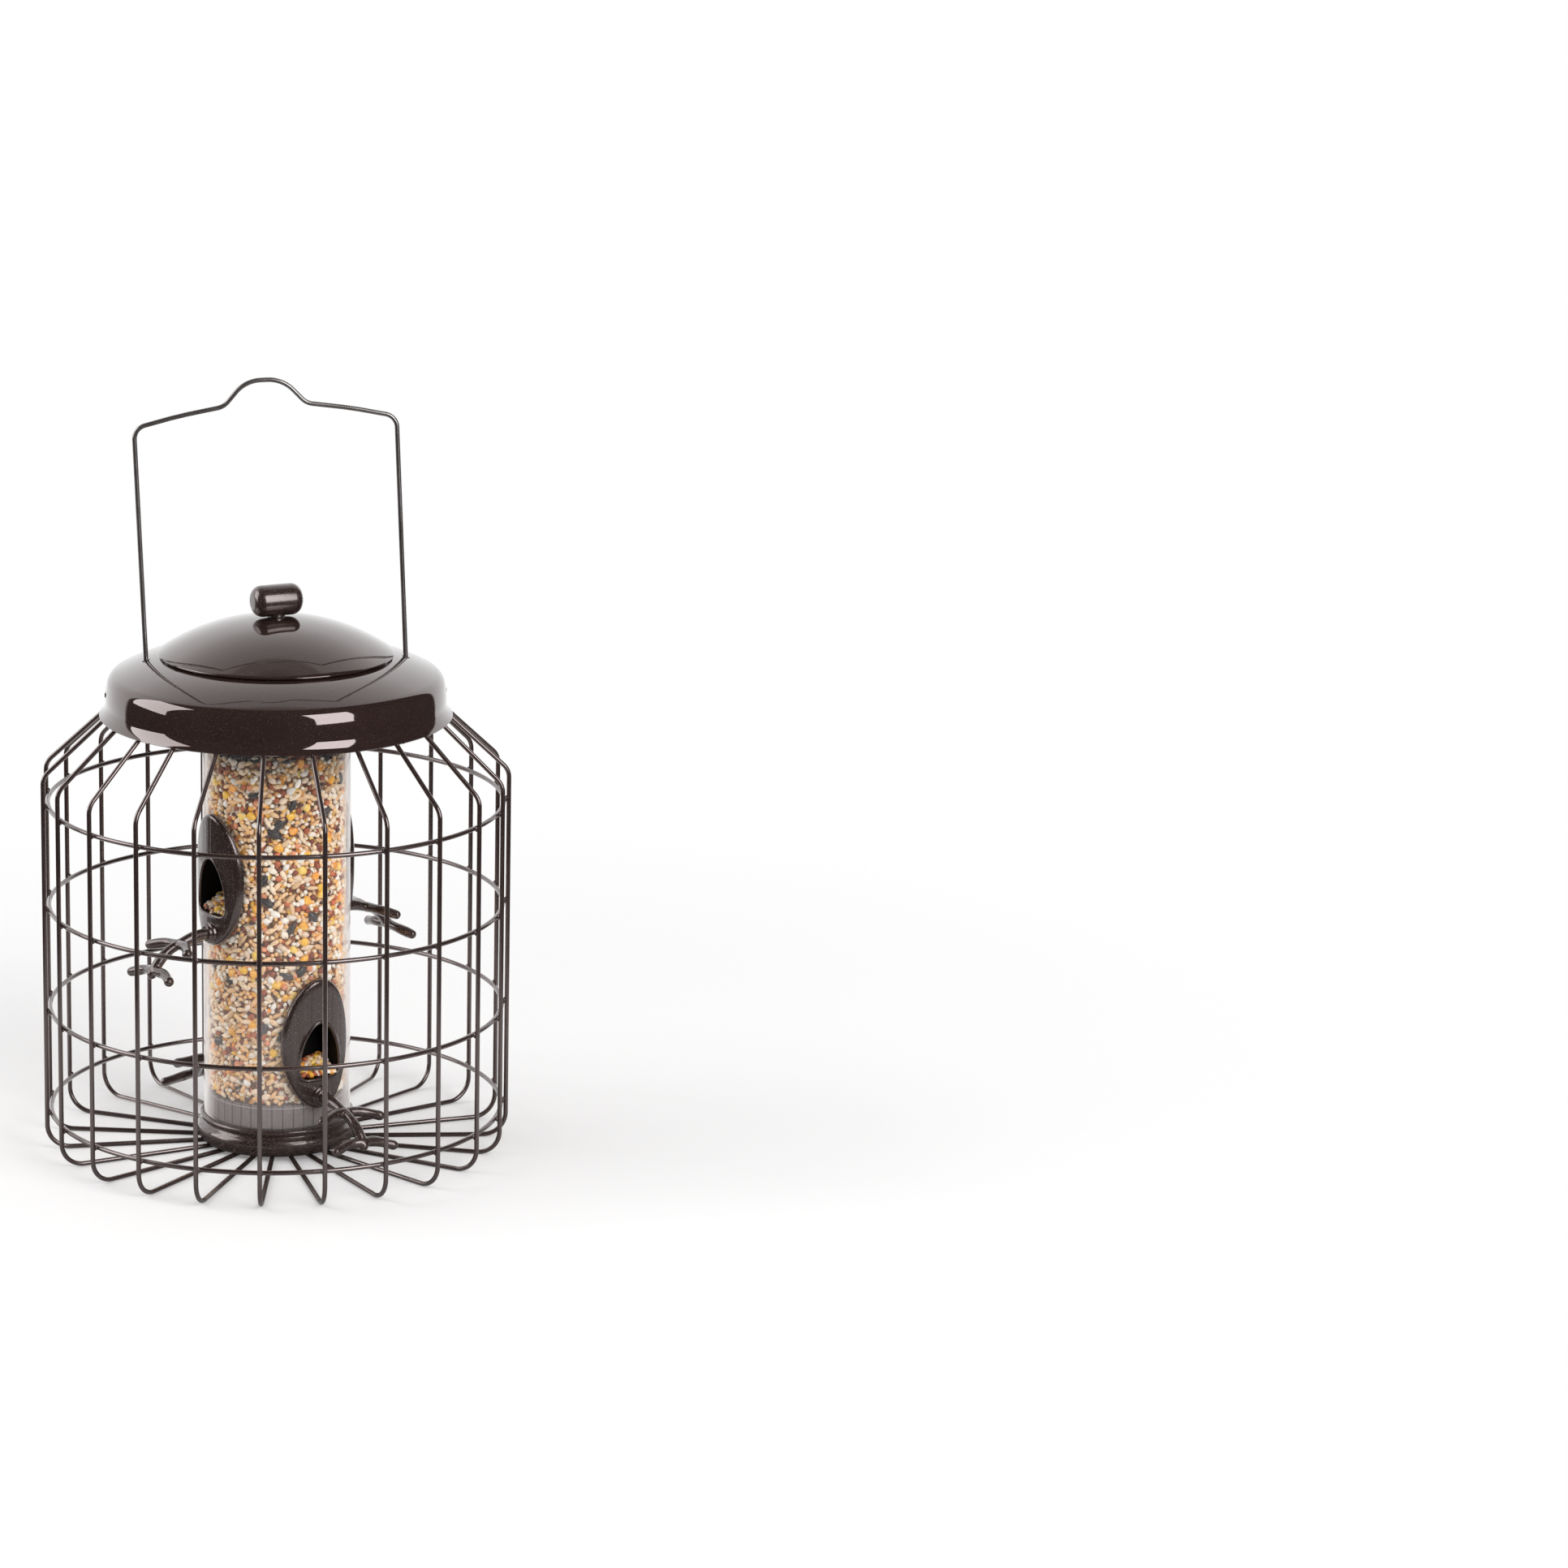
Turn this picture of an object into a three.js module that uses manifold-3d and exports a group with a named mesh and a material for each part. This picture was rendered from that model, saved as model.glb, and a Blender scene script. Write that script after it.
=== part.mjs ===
import * as THREE from 'three';
import { mergeVertices } from 'three/addons/utils/BufferGeometryUtils.js';
import Module from 'manifold-3d';

// A caged seed feeder for small birds. A clear seed tube with four ports stands inside a cage of
// bent wires that keeps squirrels out, under a spun metal roof with a lift-off filler lid.
// Lengths are in millimetres, +Z is up, the floor is at zero and the tube's axis is the Z axis.
// A bearing is an angle about Z, from the front (-Y) towards the right (+X).

const wasm = await Module();
wasm.setup();

const degree = Math.PI / 180;
const halfTurn = Math.PI;

// Fits
const seatGap = 0.3; // between two pieces that touch
const slideGap = 0.8; // round a wire or spigot that slides through a hole
const cutOverrun = 6; // how far a cutting body runs past what it cuts
const mergeTolerance = 0.0001; // between corners that are one

// Cage of bent wires, each a floor spoke, an upright and a sloping shoulder
const wireDiameter = 2.4;
const cageRadius = 118; // to the middle of the upright wires
const cageWireCount = 23;
const firstWireBearing = -4.2 * degree;
const spokeInnerRadius = 13;
const floorBendRadius = 12;
const shoulderCornerHeight = 196.5;
const shoulderBendRadius = 9;
const shoulderSlope = 43 * degree;
const wireTail = 3; // past the top ring
const hoopCount = 4;
const lowestHoopHeight = 20;
const topHoopDrop = 15.1; // below the shoulder's corner
const topRingWireDiameter = 3;
const floorDiscRadius = 28;
const floorDiscThickness = 1.5;

// Hanging bail, one bent wire that enters the roof top and leaves through the roof wall
const bailWireDiameter = 2.4;
const bailHalfSpan = 65.4;
const bailBearing = 94 * degree; // of the right leg
const bailLean = 2.4 * degree; // to the left, above the roof
const bailFootLift = 10.8; // of the bent-out ends, above the roof's lip
const bailFootBend = 4;
const bailTipStand = 0.6; // of each end, proud of the roof wall
const bailCornerRise = 121.9; // above the roof where a leg enters it, as are the next heights
const bailCornerBend = 7;
const bailHumpFootRise = 130.7;
const bailHumpHalfWidth = 20.5;
const bailHumpTopRise = 143.3;
const bailHumpBend = 17;
const bailHumpShoulderShare = 0.45; // of the half width, where the top bend's corners lie
const bailHumpFootBend = 9;

// Roof
const roofSheet = 0.8;
const roofLipRadius = 89.1;
const roofLipHeight = 6.8;
const roofLipFlare = 2.2; // power of the lip's hollow curve
const roofLipHeightShares = [0, 0.2, 0.5]; // up the lip's hollow curve
const roofWallRadius = 85.6; // at its foot
const roofWallDraft = 0.4;
const roofWallTop = 15; // above the lip
const roofCornerRadius = 7.5; // from the wall to the sloping top
const roofTopSlope = 20.5 * degree;
const roofOpeningRadius = 55.6;
const roofNeckDepth = 2.6; // of the turned-down edge of the opening

// Filler lid
const lidSheet = 1;
const lidRadius = 59.4;
const lidEdgeHeight = 1.1;
const lidHeight = 18.4; // edge to apex
const spigotWall = 1;
const spigotDepth = 5; // below the lid's edge

// Knob
const knobDiameter = 16;
const knobLength = 26;
const knobBearing = 113 * degree; // of its right end
const knobStemDiameter = 9;
const knobStemHeight = 1.4;
const knobScrewDiameter = 4;
const knobScrewReach = 9; // into the knob
const knobScrewHeadDiameter = 8.5;
const knobScrewHeadHeight = 2.6;

// Seed tube and the funnel above it
const tubeDiameter = 75;
const tubeWall = 2;
const funnelDepth = 18.2; // from the roof's opening to the top of the tube
const funnelSheet = 0.9;
const funnelFlangeRadius = 61.8;
const funnelSleeveDepth = 8;

// Base under the tube
const baseSkirtRadius = 40.7;
const baseFootRadius = 38.9;
const baseCoveRadius = 38.1;
const baseBeadRadius = 39.4;
const baseDeckHeight = 16.2; // where the tube stands
const baseDeckThickness = 2.4;
const baseWall = 2.2;
const baseBossRadius = 8;
const plugHeight = 12; // above the deck
const plugWall = 2;
const plugRibCount = 36;
const plugRibDepth = 0.7;
const baseScrewDiameter = 5;
const baseScrewHeadDiameter = 17;
const baseScrewHeadHeight = 1.6;
const baseScrewPointStand = 6; // above the deck
const baseHeightShares = [0, 0.2, 0.38, 0.5, 0.64, 0.78, 0.86, 0.95, 1]; // of foot to deck, up the outside

// Ports, each an oval shield outside the tube with a hood inside it
const upperPortHeight = 144.6;
const lowerPortHeight = 60.9;
const upperFrontBearing = -56.5 * degree;
const upperBackBearing = 128.5 * degree;
const lowerPortBearing = 33.5 * degree; // of the front one
const shieldHalfWidth = 19.4;
const shieldHalfHeight = 34.3;
const shieldThickness = 2.8;
const mouthHalfWidth = 11.6;
const mouthHeight = 28.4;
const mouthCornerRadius = 5;
const mouthSill = 16.8; // above the foot of the shield
const hoodWall = 1.4;
const hoodDepth = 17; // from the outside of the tube to the hood's back
const hoodOpenShare = 0.42; // of the mouth's height, open to the seed
const seedSlope = 34 * degree;
const hubHeight = 6.6; // above the foot of the shield
const hubDiameter = 9.2;
const hubStand = 2.2;

// Perches, twigs that run out and down from the hubs
const stemDiameter = 5;
const twigDiameter = 4.4;
const pegDiameter = 3.6;
const pegDepth = 2.6;
const perchReach = 35;
const perchDrop = 16;
const twigSpread = 18.5;
const stemRunShares = [0, 0.2, 0.4, 0.66, 0.84, 1]; // of the reach
const stemDropShares = [0, 0.03, 0.13, 0.31, 0.58, 1]; // of the drop
const innerTwigRootShares = [0.51, 0.2]; // run and drop where the twigs leave the stem
const innerTwigTipShares = [0.69, 0.29];
const outerTwigRootShares = [0.9, 0.76];
const outerTwigTipShares = [1.04, 1.09];
const twigBowShare = 0.05; // of the reach and drop, how far the middle of a twig bows up and in

// Seed
const seedTopDrop = 32.4; // below the top of the tube
const seedCrown = 4;
const seedCrownShare = 0.8; // of the crown, halfway to the tube's wall

// Facet counts
const roundFacets = 36;
const shieldFacets = 48;
const mouthCurveSegments = 3;
const boreFacets = 12;
const wireFacets = 6;
const cageFacets = 2 * cageWireCount;
const wireBendStep = 24 * degree;

// Sizes that follow from the ones above
const wireRadius = wireDiameter / 2;
const hoopRadius = cageRadius - wireDiameter - seatGap;
const hoopSpacing = (shoulderCornerHeight - topHoopDrop - lowestHoopHeight) / (hoopCount - 1);
const topRingWireRadius = topRingWireDiameter / 2;
const bailWireRadius = bailWireDiameter / 2;
const tubeRadius = tubeDiameter / 2;
const tubeBore = tubeRadius - tubeWall;
const baseFootHeight = wireDiameter + seatGap;
const tubeFootHeight = baseDeckHeight + seatGap;
const plugTopHeight = baseDeckHeight + seatGap + plugHeight;
const plugRadius = tubeBore - seatGap;
const shieldInnerRadius = tubeRadius + seatGap;
const shieldOuterRadius = shieldInnerRadius + shieldThickness;
const shieldMiddleRadius = (shieldInnerRadius + shieldOuterRadius) / 2;
// Where the hood's corners meet the outside of the shield
const hoodFrontRadius = Math.sqrt(shieldOuterRadius ** 2 - (mouthHalfWidth + hoodWall) ** 2);
const hubFaceRadius = shieldOuterRadius + hubStand;
const hoodBackRadius = tubeRadius - hoodDepth;
const funnelCollarRadius = roofOpeningRadius + roofSheet + seatGap;

// Meshes and solids

// Merges a geometry's shared corners, drops flat faces and turns all faces outwards.
function closed(geometry) {
  geometry.deleteAttribute('normal');
  geometry.deleteAttribute('uv');
  const merged = mergeVertices(geometry, mergeTolerance);
  const from = merged.index.array;
  const position = merged.attributes.position;
  const corner = (i) => new THREE.Vector3().fromBufferAttribute(position, i);
  const faces = [];
  let volume = 0;
  for (let i = 0; i < from.length; i += 3) {
    const [a, b, c] = [from[i], from[i + 1], from[i + 2]];
    if (a === b || b === c || c === a) continue;
    volume += corner(a).dot(corner(b).cross(corner(c)));
    faces.push([a, b, c]);
  }
  const out = new THREE.BufferGeometry();
  out.setAttribute('position', position);
  out.setIndex(faces.flatMap(([a, b, c]) => (volume < 0 ? [a, c, b] : [a, b, c])));
  return out;
}

function solid(geometry) {
  const shape = closed(geometry);
  return new wasm.Manifold(new wasm.Mesh({
    numProp: 3,
    vertProperties: new Float32Array(shape.attributes.position.array),
    triVerts: new Uint32Array(shape.index.array),
  }));
}

function fromSolid(body) {
  const mesh = body.getMesh();
  const count = mesh.vertProperties.length / mesh.numProp;
  const corners = new Float32Array(count * 3);
  for (let i = 0; i < count; i += 1) {
    for (let k = 0; k < 3; k += 1) corners[3 * i + k] = mesh.vertProperties[mesh.numProp * i + k];
  }
  const geometry = new THREE.BufferGeometry();
  geometry.setAttribute('position', new THREE.BufferAttribute(corners, 3));
  geometry.setIndex(Array.from(mesh.triVerts));
  return geometry;
}

// Turns a closed outline of [radius, height] points about Z, the first facet edge at a bearing.
function revolve(outline, facets = roundFacets, bearing = 0) {
  const points = outline.map(([r, z]) => new THREE.Vector2(r, z));
  if (outline[0][0] > 0 || outline[outline.length - 1][0] > 0) points.push(points[0].clone());
  const geometry = new THREE.LatheGeometry(points, facets);
  geometry.rotateX(halfTurn / 2);
  geometry.rotateZ(bearing);
  return geometry;
}

// Outline of a round bar's section, flat towards the axis and away from it.
function barSection(radius, height, barRadius, facets = wireFacets) {
  const reach = barRadius / Math.cos(halfTurn / facets);
  return Array.from({ length: facets }, (_, i) => {
    const angle = ((2 * i + 1) * halfTurn) / facets;
    return [radius + reach * Math.cos(angle), height + reach * Math.sin(angle)];
  });
}

// Closes an open outline into a sheet, with its thickness on the left of the way it runs.
function sheet(outline, thickness) {
  const normal = ([r0, z0], [r1, z1]) => {
    const length = Math.hypot(r1 - r0, z1 - z0);
    return [(z0 - z1) / length, (r1 - r0) / length];
  };
  const inner = outline.map(([r, z], i) => {
    const before = normal(outline[Math.max(i - 1, 0)], outline[Math.max(i, 1)]);
    const last = outline.length - 1;
    const after = normal(outline[Math.min(i, last - 1)], outline[Math.min(i + 1, last)]);
    const sum = [before[0] + after[0], before[1] + after[1]];
    const scale = (2 * thickness) / (sum[0] ** 2 + sum[1] ** 2);
    return [r + sum[0] * scale, z + sum[1] * scale];
  });
  return [...outline, ...inner.reverse()];
}

function arc(centre, reach, from, to, steps) {
  return Array.from({ length: steps + 1 }, (_, i) => {
    const angle = from + ((to - from) * i) / steps;
    return [centre[0] + reach[0] * Math.cos(angle), centre[1] + reach[1] * Math.sin(angle)];
  });
}

// Stations along a flat path of straight runs, with each inner corner rounded to its bend radius.
function bentPath(corners, angleStep = wireBendStep) {
  const flat = corners.map(({ at }) => new THREE.Vector2(...at));
  const stations = [];
  const heading = (a, b) => b.clone().sub(a).normalize();
  flat.forEach((at, i) => {
    if (i === 0) {
      stations.push({ at, along: heading(at, flat[1]) });
      return;
    }
    if (i === flat.length - 1) {
      stations.push({ at, along: heading(flat[i - 1], at) });
      return;
    }
    const into = heading(flat[i - 1], at);
    const out = heading(at, flat[i + 1]);
    const turn = Math.atan2(into.x * out.y - into.y * out.x, into.dot(out));
    const bend = corners[i].bend;
    const start = at.clone().addScaledVector(into, -bend * Math.tan(Math.abs(turn) / 2));
    const side = new THREE.Vector2(-into.y, into.x).multiplyScalar(Math.sign(turn));
    const centre = start.clone().addScaledVector(side, bend);
    const steps = Math.max(1, Math.ceil(Math.abs(turn) / angleStep));
    const origin = new THREE.Vector2();
    for (let k = 0; k <= steps; k += 1) {
      const angle = (turn * k) / steps;
      const spot = start.clone().sub(centre).rotateAround(origin, angle).add(centre);
      stations.push({ at: spot, along: into.clone().rotateAround(origin, angle) });
    }
  });
  return stations;
}

// Skin between rings of corners, closed at both ends.
function skin(rings) {
  const sides = rings[0].length;
  const corners = rings.flat();
  const faces = [];
  for (let i = 0; i + 1 < rings.length; i += 1) {
    for (let k = 0; k < sides; k += 1) {
      const a = i * sides + k;
      const b = i * sides + ((k + 1) % sides);
      faces.push(a, b, a + sides, b, b + sides, a + sides);
    }
  }
  const end = (rings.length - 1) * sides;
  for (let k = 1; k + 1 < sides; k += 1) {
    faces.push(0, k + 1, k);
    faces.push(end, end + k, end + k + 1);
  }
  const geometry = new THREE.BufferGeometry();
  const flat = corners.flatMap((p) => [p.x, p.y, p.z]);
  geometry.setAttribute('position', new THREE.BufferAttribute(new Float32Array(flat), 3));
  geometry.setIndex(faces);
  return geometry;
}

// A round wire along a flat path that stands upright at a bearing: x is the reach from the axis.
function standingWire(stations, barRadius, bearing, sides = wireFacets) {
  const outwards = new THREE.Vector3(Math.sin(bearing), -Math.cos(bearing), 0);
  const across = new THREE.Vector3(Math.cos(bearing), Math.sin(bearing), 0);
  const reach = barRadius / Math.cos(halfTurn / sides);
  const rings = stations.map(({ at, along }) => Array.from({ length: sides }, (_, k) => {
    const angle = ((2 * k + 1) * halfTurn) / sides;
    const side = reach * Math.cos(angle);
    return new THREE.Vector3(0, 0, at.y + side * along.x)
      .addScaledVector(outwards, at.x - side * along.y)
      .addScaledVector(across, reach * Math.sin(angle));
  }));
  return closed(skin(rings));
}

// A rounded bar along a path in space, with domed ends.
function twig(path, startRadius, endRadius, sides = wireFacets) {
  const curve = new THREE.CatmullRomCurve3(path);
  const steps = path.length;
  const rings = [];
  const ring = (centre, along, radius) => {
    const side = new THREE.Vector3(0, 0, 1).cross(along).normalize();
    const up = along.clone().cross(side);
    rings.push(Array.from({ length: sides }, (_, k) => {
      const angle = ((2 * k + 1) * halfTurn) / sides;
      return centre.clone()
        .addScaledVector(side, radius * Math.cos(angle))
        .addScaledVector(up, radius * Math.sin(angle));
    }));
  };
  for (let i = 0; i <= steps; i += 1) {
    const share = i / steps;
    const radius = THREE.MathUtils.lerp(startRadius, endRadius, share);
    ring(curve.getPointAt(share), curve.getTangentAt(share), radius);
  }
  const tip = path[path.length - 1];
  const along = curve.getTangentAt(1);
  for (const angle of [halfTurn / 4, halfTurn / 2.4]) {
    const centre = tip.clone().addScaledVector(along, endRadius * Math.sin(angle));
    ring(centre, along, endRadius * Math.cos(angle));
  }
  return skin(rings);
}

function bar(radius, from, to, facets = boreFacets) {
  return revolve([[0, from], [radius, from], [radius, to], [0, to]], facets);
}

// Materials
const finish = (settings) => (name) => new THREE.MeshStandardMaterial({ name, ...settings });
const coat = finish({ color: 0x3b322f, roughness: 0.28, metalness: 0.35 });
const steel = finish({ color: 0x9b9b98, roughness: 0.35, metalness: 0.9 });
const clear = finish({ color: 0xf2f5f5, roughness: 0.05, metalness: 0, transparent: true, opacity: 0.3 });
const grain = finish({ color: 0xc79a62, roughness: 0.85, metalness: 0 });

const feeder = new THREE.Group();

function add(name, geometry, material) {
  const mesh = new THREE.Mesh(closed(geometry), material(`${name}_finish`));
  mesh.name = name;
  feeder.add(mesh);
  return mesh;
}

const addSolid = (name, body, material) => add(name, fromSolid(body), material);

// Where the sloping part of a cage wire's middle line lies at a reach from the axis
const shoulderHeightAt = (reach) => shoulderCornerHeight + (cageRadius - reach) * Math.tan(shoulderSlope);

// Height of the roof's sloping top above the lip's edge, at a reach from the axis
const roofCornerReach = roofWallRadius - roofWallDraft - roofCornerRadius;
const roofSlopeHeightAt = (reach) => {
  const slopeReach = roofCornerReach + roofCornerRadius * Math.sin(roofTopSlope);
  const slopeFoot = roofWallTop + roofCornerRadius * Math.cos(roofTopSlope);
  return slopeFoot + (slopeReach - reach) * Math.tan(roofTopSlope);
};
const roofHeight = roofSlopeHeightAt(roofOpeningRadius);

// Outline of the roof's outside, from its lip up to the filler opening, above the lip's edge
const roofOutline = [
  ...roofLipHeightShares.map((share) => {
    const reach = (roofLipRadius - roofWallRadius) * (1 - share) ** roofLipFlare;
    return [roofWallRadius + reach, roofLipHeight * share];
  }),
  [roofWallRadius, roofLipHeight],
  ...arc(
    [roofCornerReach, roofWallTop],
    [roofCornerRadius, roofCornerRadius],
    0,
    halfTurn / 2 - roofTopSlope,
    4,
  ),
  [roofOpeningRadius, roofHeight],
  [roofOpeningRadius, roofHeight - roofNeckDepth],
];
const roofSection = sheet(roofOutline, roofSheet);
const roofLipInside = roofSection[roofSection.length - 1];
// The lip's inner edge sits on the sloping wires
const roofLipBase = shoulderHeightAt(roofLipInside[0])
  + (wireRadius + seatGap) / Math.cos(shoulderSlope) - roofLipInside[1];
const roofTopHeight = roofLipBase + roofHeight;
// The lid's inner edge sits on the sloping top
const lidBase = roofLipBase + roofSlopeHeightAt(lidRadius - lidSheet) + seatGap;
const bailEntryHeight = roofLipBase + roofSlopeHeightAt(bailHalfSpan);
const bailFootHeight = roofLipBase + bailFootLift;
const tubeTopHeight = roofTopHeight - funnelDepth;
const seedTopHeight = tubeTopHeight - seedTopDrop;

// The top ring lies on the bail's bent-out feet and against the outside of the sloping wires
const ringHeight = bailFootHeight + bailWireRadius + seatGap + topRingWireRadius;
const ringOffset = wireRadius + seatGap + topRingWireRadius;
const ringContactHeight = ringHeight - ringOffset * Math.cos(shoulderSlope);
const ringContactReach = cageRadius - (ringContactHeight - shoulderCornerHeight) / Math.tan(shoulderSlope);
const ringRadius = ringContactReach + ringOffset * Math.sin(shoulderSlope);

function makeCage() {
  const wireEnd = [
    ringContactReach - wireTail * Math.cos(shoulderSlope),
    ringContactHeight + wireTail * Math.sin(shoulderSlope),
  ];
  const path = bentPath([
    { at: [spokeInnerRadius, wireRadius] },
    { at: [cageRadius, wireRadius], bend: floorBendRadius },
    { at: [cageRadius, shoulderCornerHeight], bend: shoulderBendRadius },
    { at: wireEnd },
  ]);
  for (let i = 0; i < cageWireCount; i += 1) {
    const bearing = firstWireBearing + (2 * halfTurn * i) / cageWireCount;
    const name = `cage_wire_${String(i + 1).padStart(2, '0')}`;
    add(name, standingWire(path, wireRadius, bearing), coat);
  }
  for (let i = 0; i < hoopCount; i += 1) {
    const section = barSection(hoopRadius, lowestHoopHeight + i * hoopSpacing, wireRadius);
    add(`cage_hoop_${i + 1}`, revolve(section, cageFacets, firstWireBearing), coat);
  }
  const ringSection = barSection(ringRadius, ringHeight, topRingWireRadius);
  add('cage_top_ring', revolve(ringSection, cageFacets, firstWireBearing), coat);
  const discFoot = wireDiameter + seatGap;
  const discTop = discFoot + floorDiscThickness;
  const discHole = baseScrewDiameter / 2 + seatGap;
  add('cage_floor_disc', revolve([
    [discHole, discFoot], [floorDiscRadius, discFoot], [floorDiscRadius, discTop], [discHole, discTop],
  ]), coat);
}

function bearingFrame(bearing, reach, height) {
  const outwards = new THREE.Vector3(Math.sin(bearing), -Math.cos(bearing), 0);
  const across = new THREE.Vector3(Math.cos(bearing), Math.sin(bearing), 0);
  const frame = new THREE.Matrix4().makeBasis(across, new THREE.Vector3(0, 0, 1), outwards);
  return frame.setPosition(outwards.clone().multiplyScalar(reach).setZ(height));
}

// A straight round cutter along a bearing, from one reach to another
function radialBar(bearing, height, radius, from, to, facets = boreFacets) {
  const geometry = new THREE.CylinderGeometry(radius, radius, to - from, facets);
  geometry.rotateX(halfTurn / 2);
  geometry.applyMatrix4(bearingFrame(bearing, (from + to) / 2, height));
  return geometry;
}

function makeRoof() {
  let roof = solid(revolve(roofSection.map(([r, z]) => [r, z + roofLipBase])));
  const holeRadius = bailWireRadius + slideGap;
  for (const bearing of [bailBearing, bailBearing + halfTurn]) {
    const legHole = bar(holeRadius, bailEntryHeight - cutOverrun, bailEntryHeight + cutOverrun);
    legHole.applyMatrix4(new THREE.Matrix4().makeTranslation(
      bailHalfSpan * Math.sin(bearing),
      -bailHalfSpan * Math.cos(bearing),
      0,
    ));
    const from = roofWallRadius - cutOverrun;
    const wallHole = radialBar(bearing, bailFootHeight, holeRadius, from, roofWallRadius + cutOverrun);
    roof = roof.subtract(solid(legHole)).subtract(solid(wallHole));
  }
  addSolid('roof', roof, coat);
}

function makeBail() {
  const lean = ([x, rise]) => [
    x * Math.cos(bailLean) - rise * Math.sin(bailLean),
    bailEntryHeight + rise * Math.cos(bailLean) + x * Math.sin(bailLean),
  ];
  const tipReach = roofWallRadius + bailTipStand;
  const humpSide = (side) => [
    { at: lean([side * bailHumpHalfWidth, bailHumpFootRise]), bend: bailHumpFootBend },
    { at: lean([side * bailHumpHalfWidth * bailHumpShoulderShare, bailHumpTopRise]), bend: bailHumpBend },
  ];
  const leg = (side) => [
    { at: [side * tipReach, bailFootHeight] },
    { at: [side * bailHalfSpan, bailFootHeight], bend: bailFootBend },
    { at: [side * bailHalfSpan, bailEntryHeight], bend: bailFootBend },
    { at: lean([side * bailHalfSpan, bailCornerRise]), bend: bailCornerBend },
  ];
  const corners = [
    ...leg(-1), ...humpSide(-1), ...humpSide(1).reverse(), ...leg(1).reverse(),
  ];
  add('bail', standingWire(bentPath(corners), bailWireRadius, bailBearing), coat);
}

function makeLid() {
  const screwHole = knobScrewDiameter / 2 + seatGap;
  const capHeight = lidHeight - lidEdgeHeight;
  const capRadius = (lidRadius ** 2 + capHeight ** 2) / (2 * capHeight);
  const capCentre = lidBase + lidHeight - capRadius;
  const edgeAngle = Math.acos(lidRadius / capRadius);
  const holeAngle = Math.acos(screwHole / capRadius);
  const outside = [
    [lidRadius, lidBase],
    ...arc([0, capCentre], [capRadius, capRadius], edgeAngle, holeAngle, 6),
  ];
  add('dome_lid', revolve(sheet(outside, lidSheet)), coat);

  const spigotRadius = roofOpeningRadius - slideGap;
  const underside = (r) => capCentre + Math.sqrt((capRadius - lidSheet) ** 2 - r ** 2) - seatGap;
  const spigotInside = spigotRadius - spigotWall;
  const spigotFoot = lidBase - spigotDepth;
  add('lid_spigot', revolve([
    [spigotInside, spigotFoot], [spigotRadius, spigotFoot],
    [spigotRadius, underside(spigotRadius)], [spigotInside, underside(spigotRadius)],
  ]), coat);

  const apex = lidBase + lidHeight;
  const knobMiddle = apex + knobStemHeight + knobDiameter / 2;
  const capsule = new THREE.CapsuleGeometry(knobDiameter / 2, knobLength - knobDiameter, 4, 14);
  capsule.rotateZ(halfTurn / 2);
  capsule.rotateZ(knobBearing - halfTurn / 2);
  capsule.translate(0, 0, knobMiddle);
  const stemFoot = apex + seatGap;
  const stem = bar(knobStemDiameter / 2, stemFoot, knobMiddle);
  const screwTop = stemFoot + knobScrewReach;
  const bore = bar(screwHole, stemFoot - cutOverrun, screwTop + seatGap);
  addSolid('knob', solid(capsule).add(solid(stem)).subtract(solid(bore)), coat);

  const headTop = apex - lidSheet - seatGap;
  const headFoot = headTop - knobScrewHeadHeight;
  const shank = knobScrewDiameter / 2;
  add('knob_screw', revolve([
    [0, headFoot], [knobScrewHeadDiameter / 2, headFoot], [knobScrewHeadDiameter / 2, headTop],
    [shank, headTop], [shank, screwTop], [0, screwTop],
  ], boreFacets), steel);
}

// Shapes seen along a port's bearing: x runs across the tube and y up from the port's middle
function shieldShape() {
  return new THREE.Shape().absellipse(0, 0, shieldHalfWidth, shieldHalfHeight, 0, 2 * halfTurn);
}

function mouthShape(extra) {
  const half = mouthHalfWidth + extra;
  const foot = mouthSill - shieldHalfHeight - extra;
  const top = foot + mouthHeight + 2 * extra;
  const round = mouthCornerRadius + extra;
  const spring = foot + round;
  const shape = new THREE.Shape();
  shape.moveTo(round - half, foot);
  shape.lineTo(half - round, foot);
  shape.quadraticCurveTo(half, foot, half, spring);
  shape.bezierCurveTo(half, (spring + top) / 2, half / 2, top, 0, top);
  shape.bezierCurveTo(-half / 2, top, -half, (spring + top) / 2, -half, spring);
  shape.quadraticCurveTo(-half, foot, round - half, foot);
  return shape;
}

function portPrism(shape, port, from, to, curveSegments = mouthCurveSegments) {
  const geometry = new THREE.ExtrudeGeometry(shape, {
    depth: to - from, bevelEnabled: false, curveSegments,
  });
  geometry.applyMatrix4(bearingFrame(port.bearing, from, port.height));
  return solid(geometry);
}

const ports = [
  { name: 'upper_front', bearing: upperFrontBearing, height: upperPortHeight },
  { name: 'upper_back', bearing: upperBackBearing, height: upperPortHeight },
  { name: 'lower_front', bearing: lowerPortBearing, height: lowerPortHeight },
  { name: 'lower_back', bearing: lowerPortBearing + halfTurn, height: lowerPortHeight },
];
const mouthFoot = mouthSill - shieldHalfHeight;
const hubMiddle = hubHeight - shieldHalfHeight;
const hoodOpenTop = mouthFoot + mouthHeight * hoodOpenShare;

function tubeShell(inner, outer, from, to, facets = roundFacets) {
  return solid(revolve([[inner, from], [outer, from], [outer, to], [inner, to]], facets));
}

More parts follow.
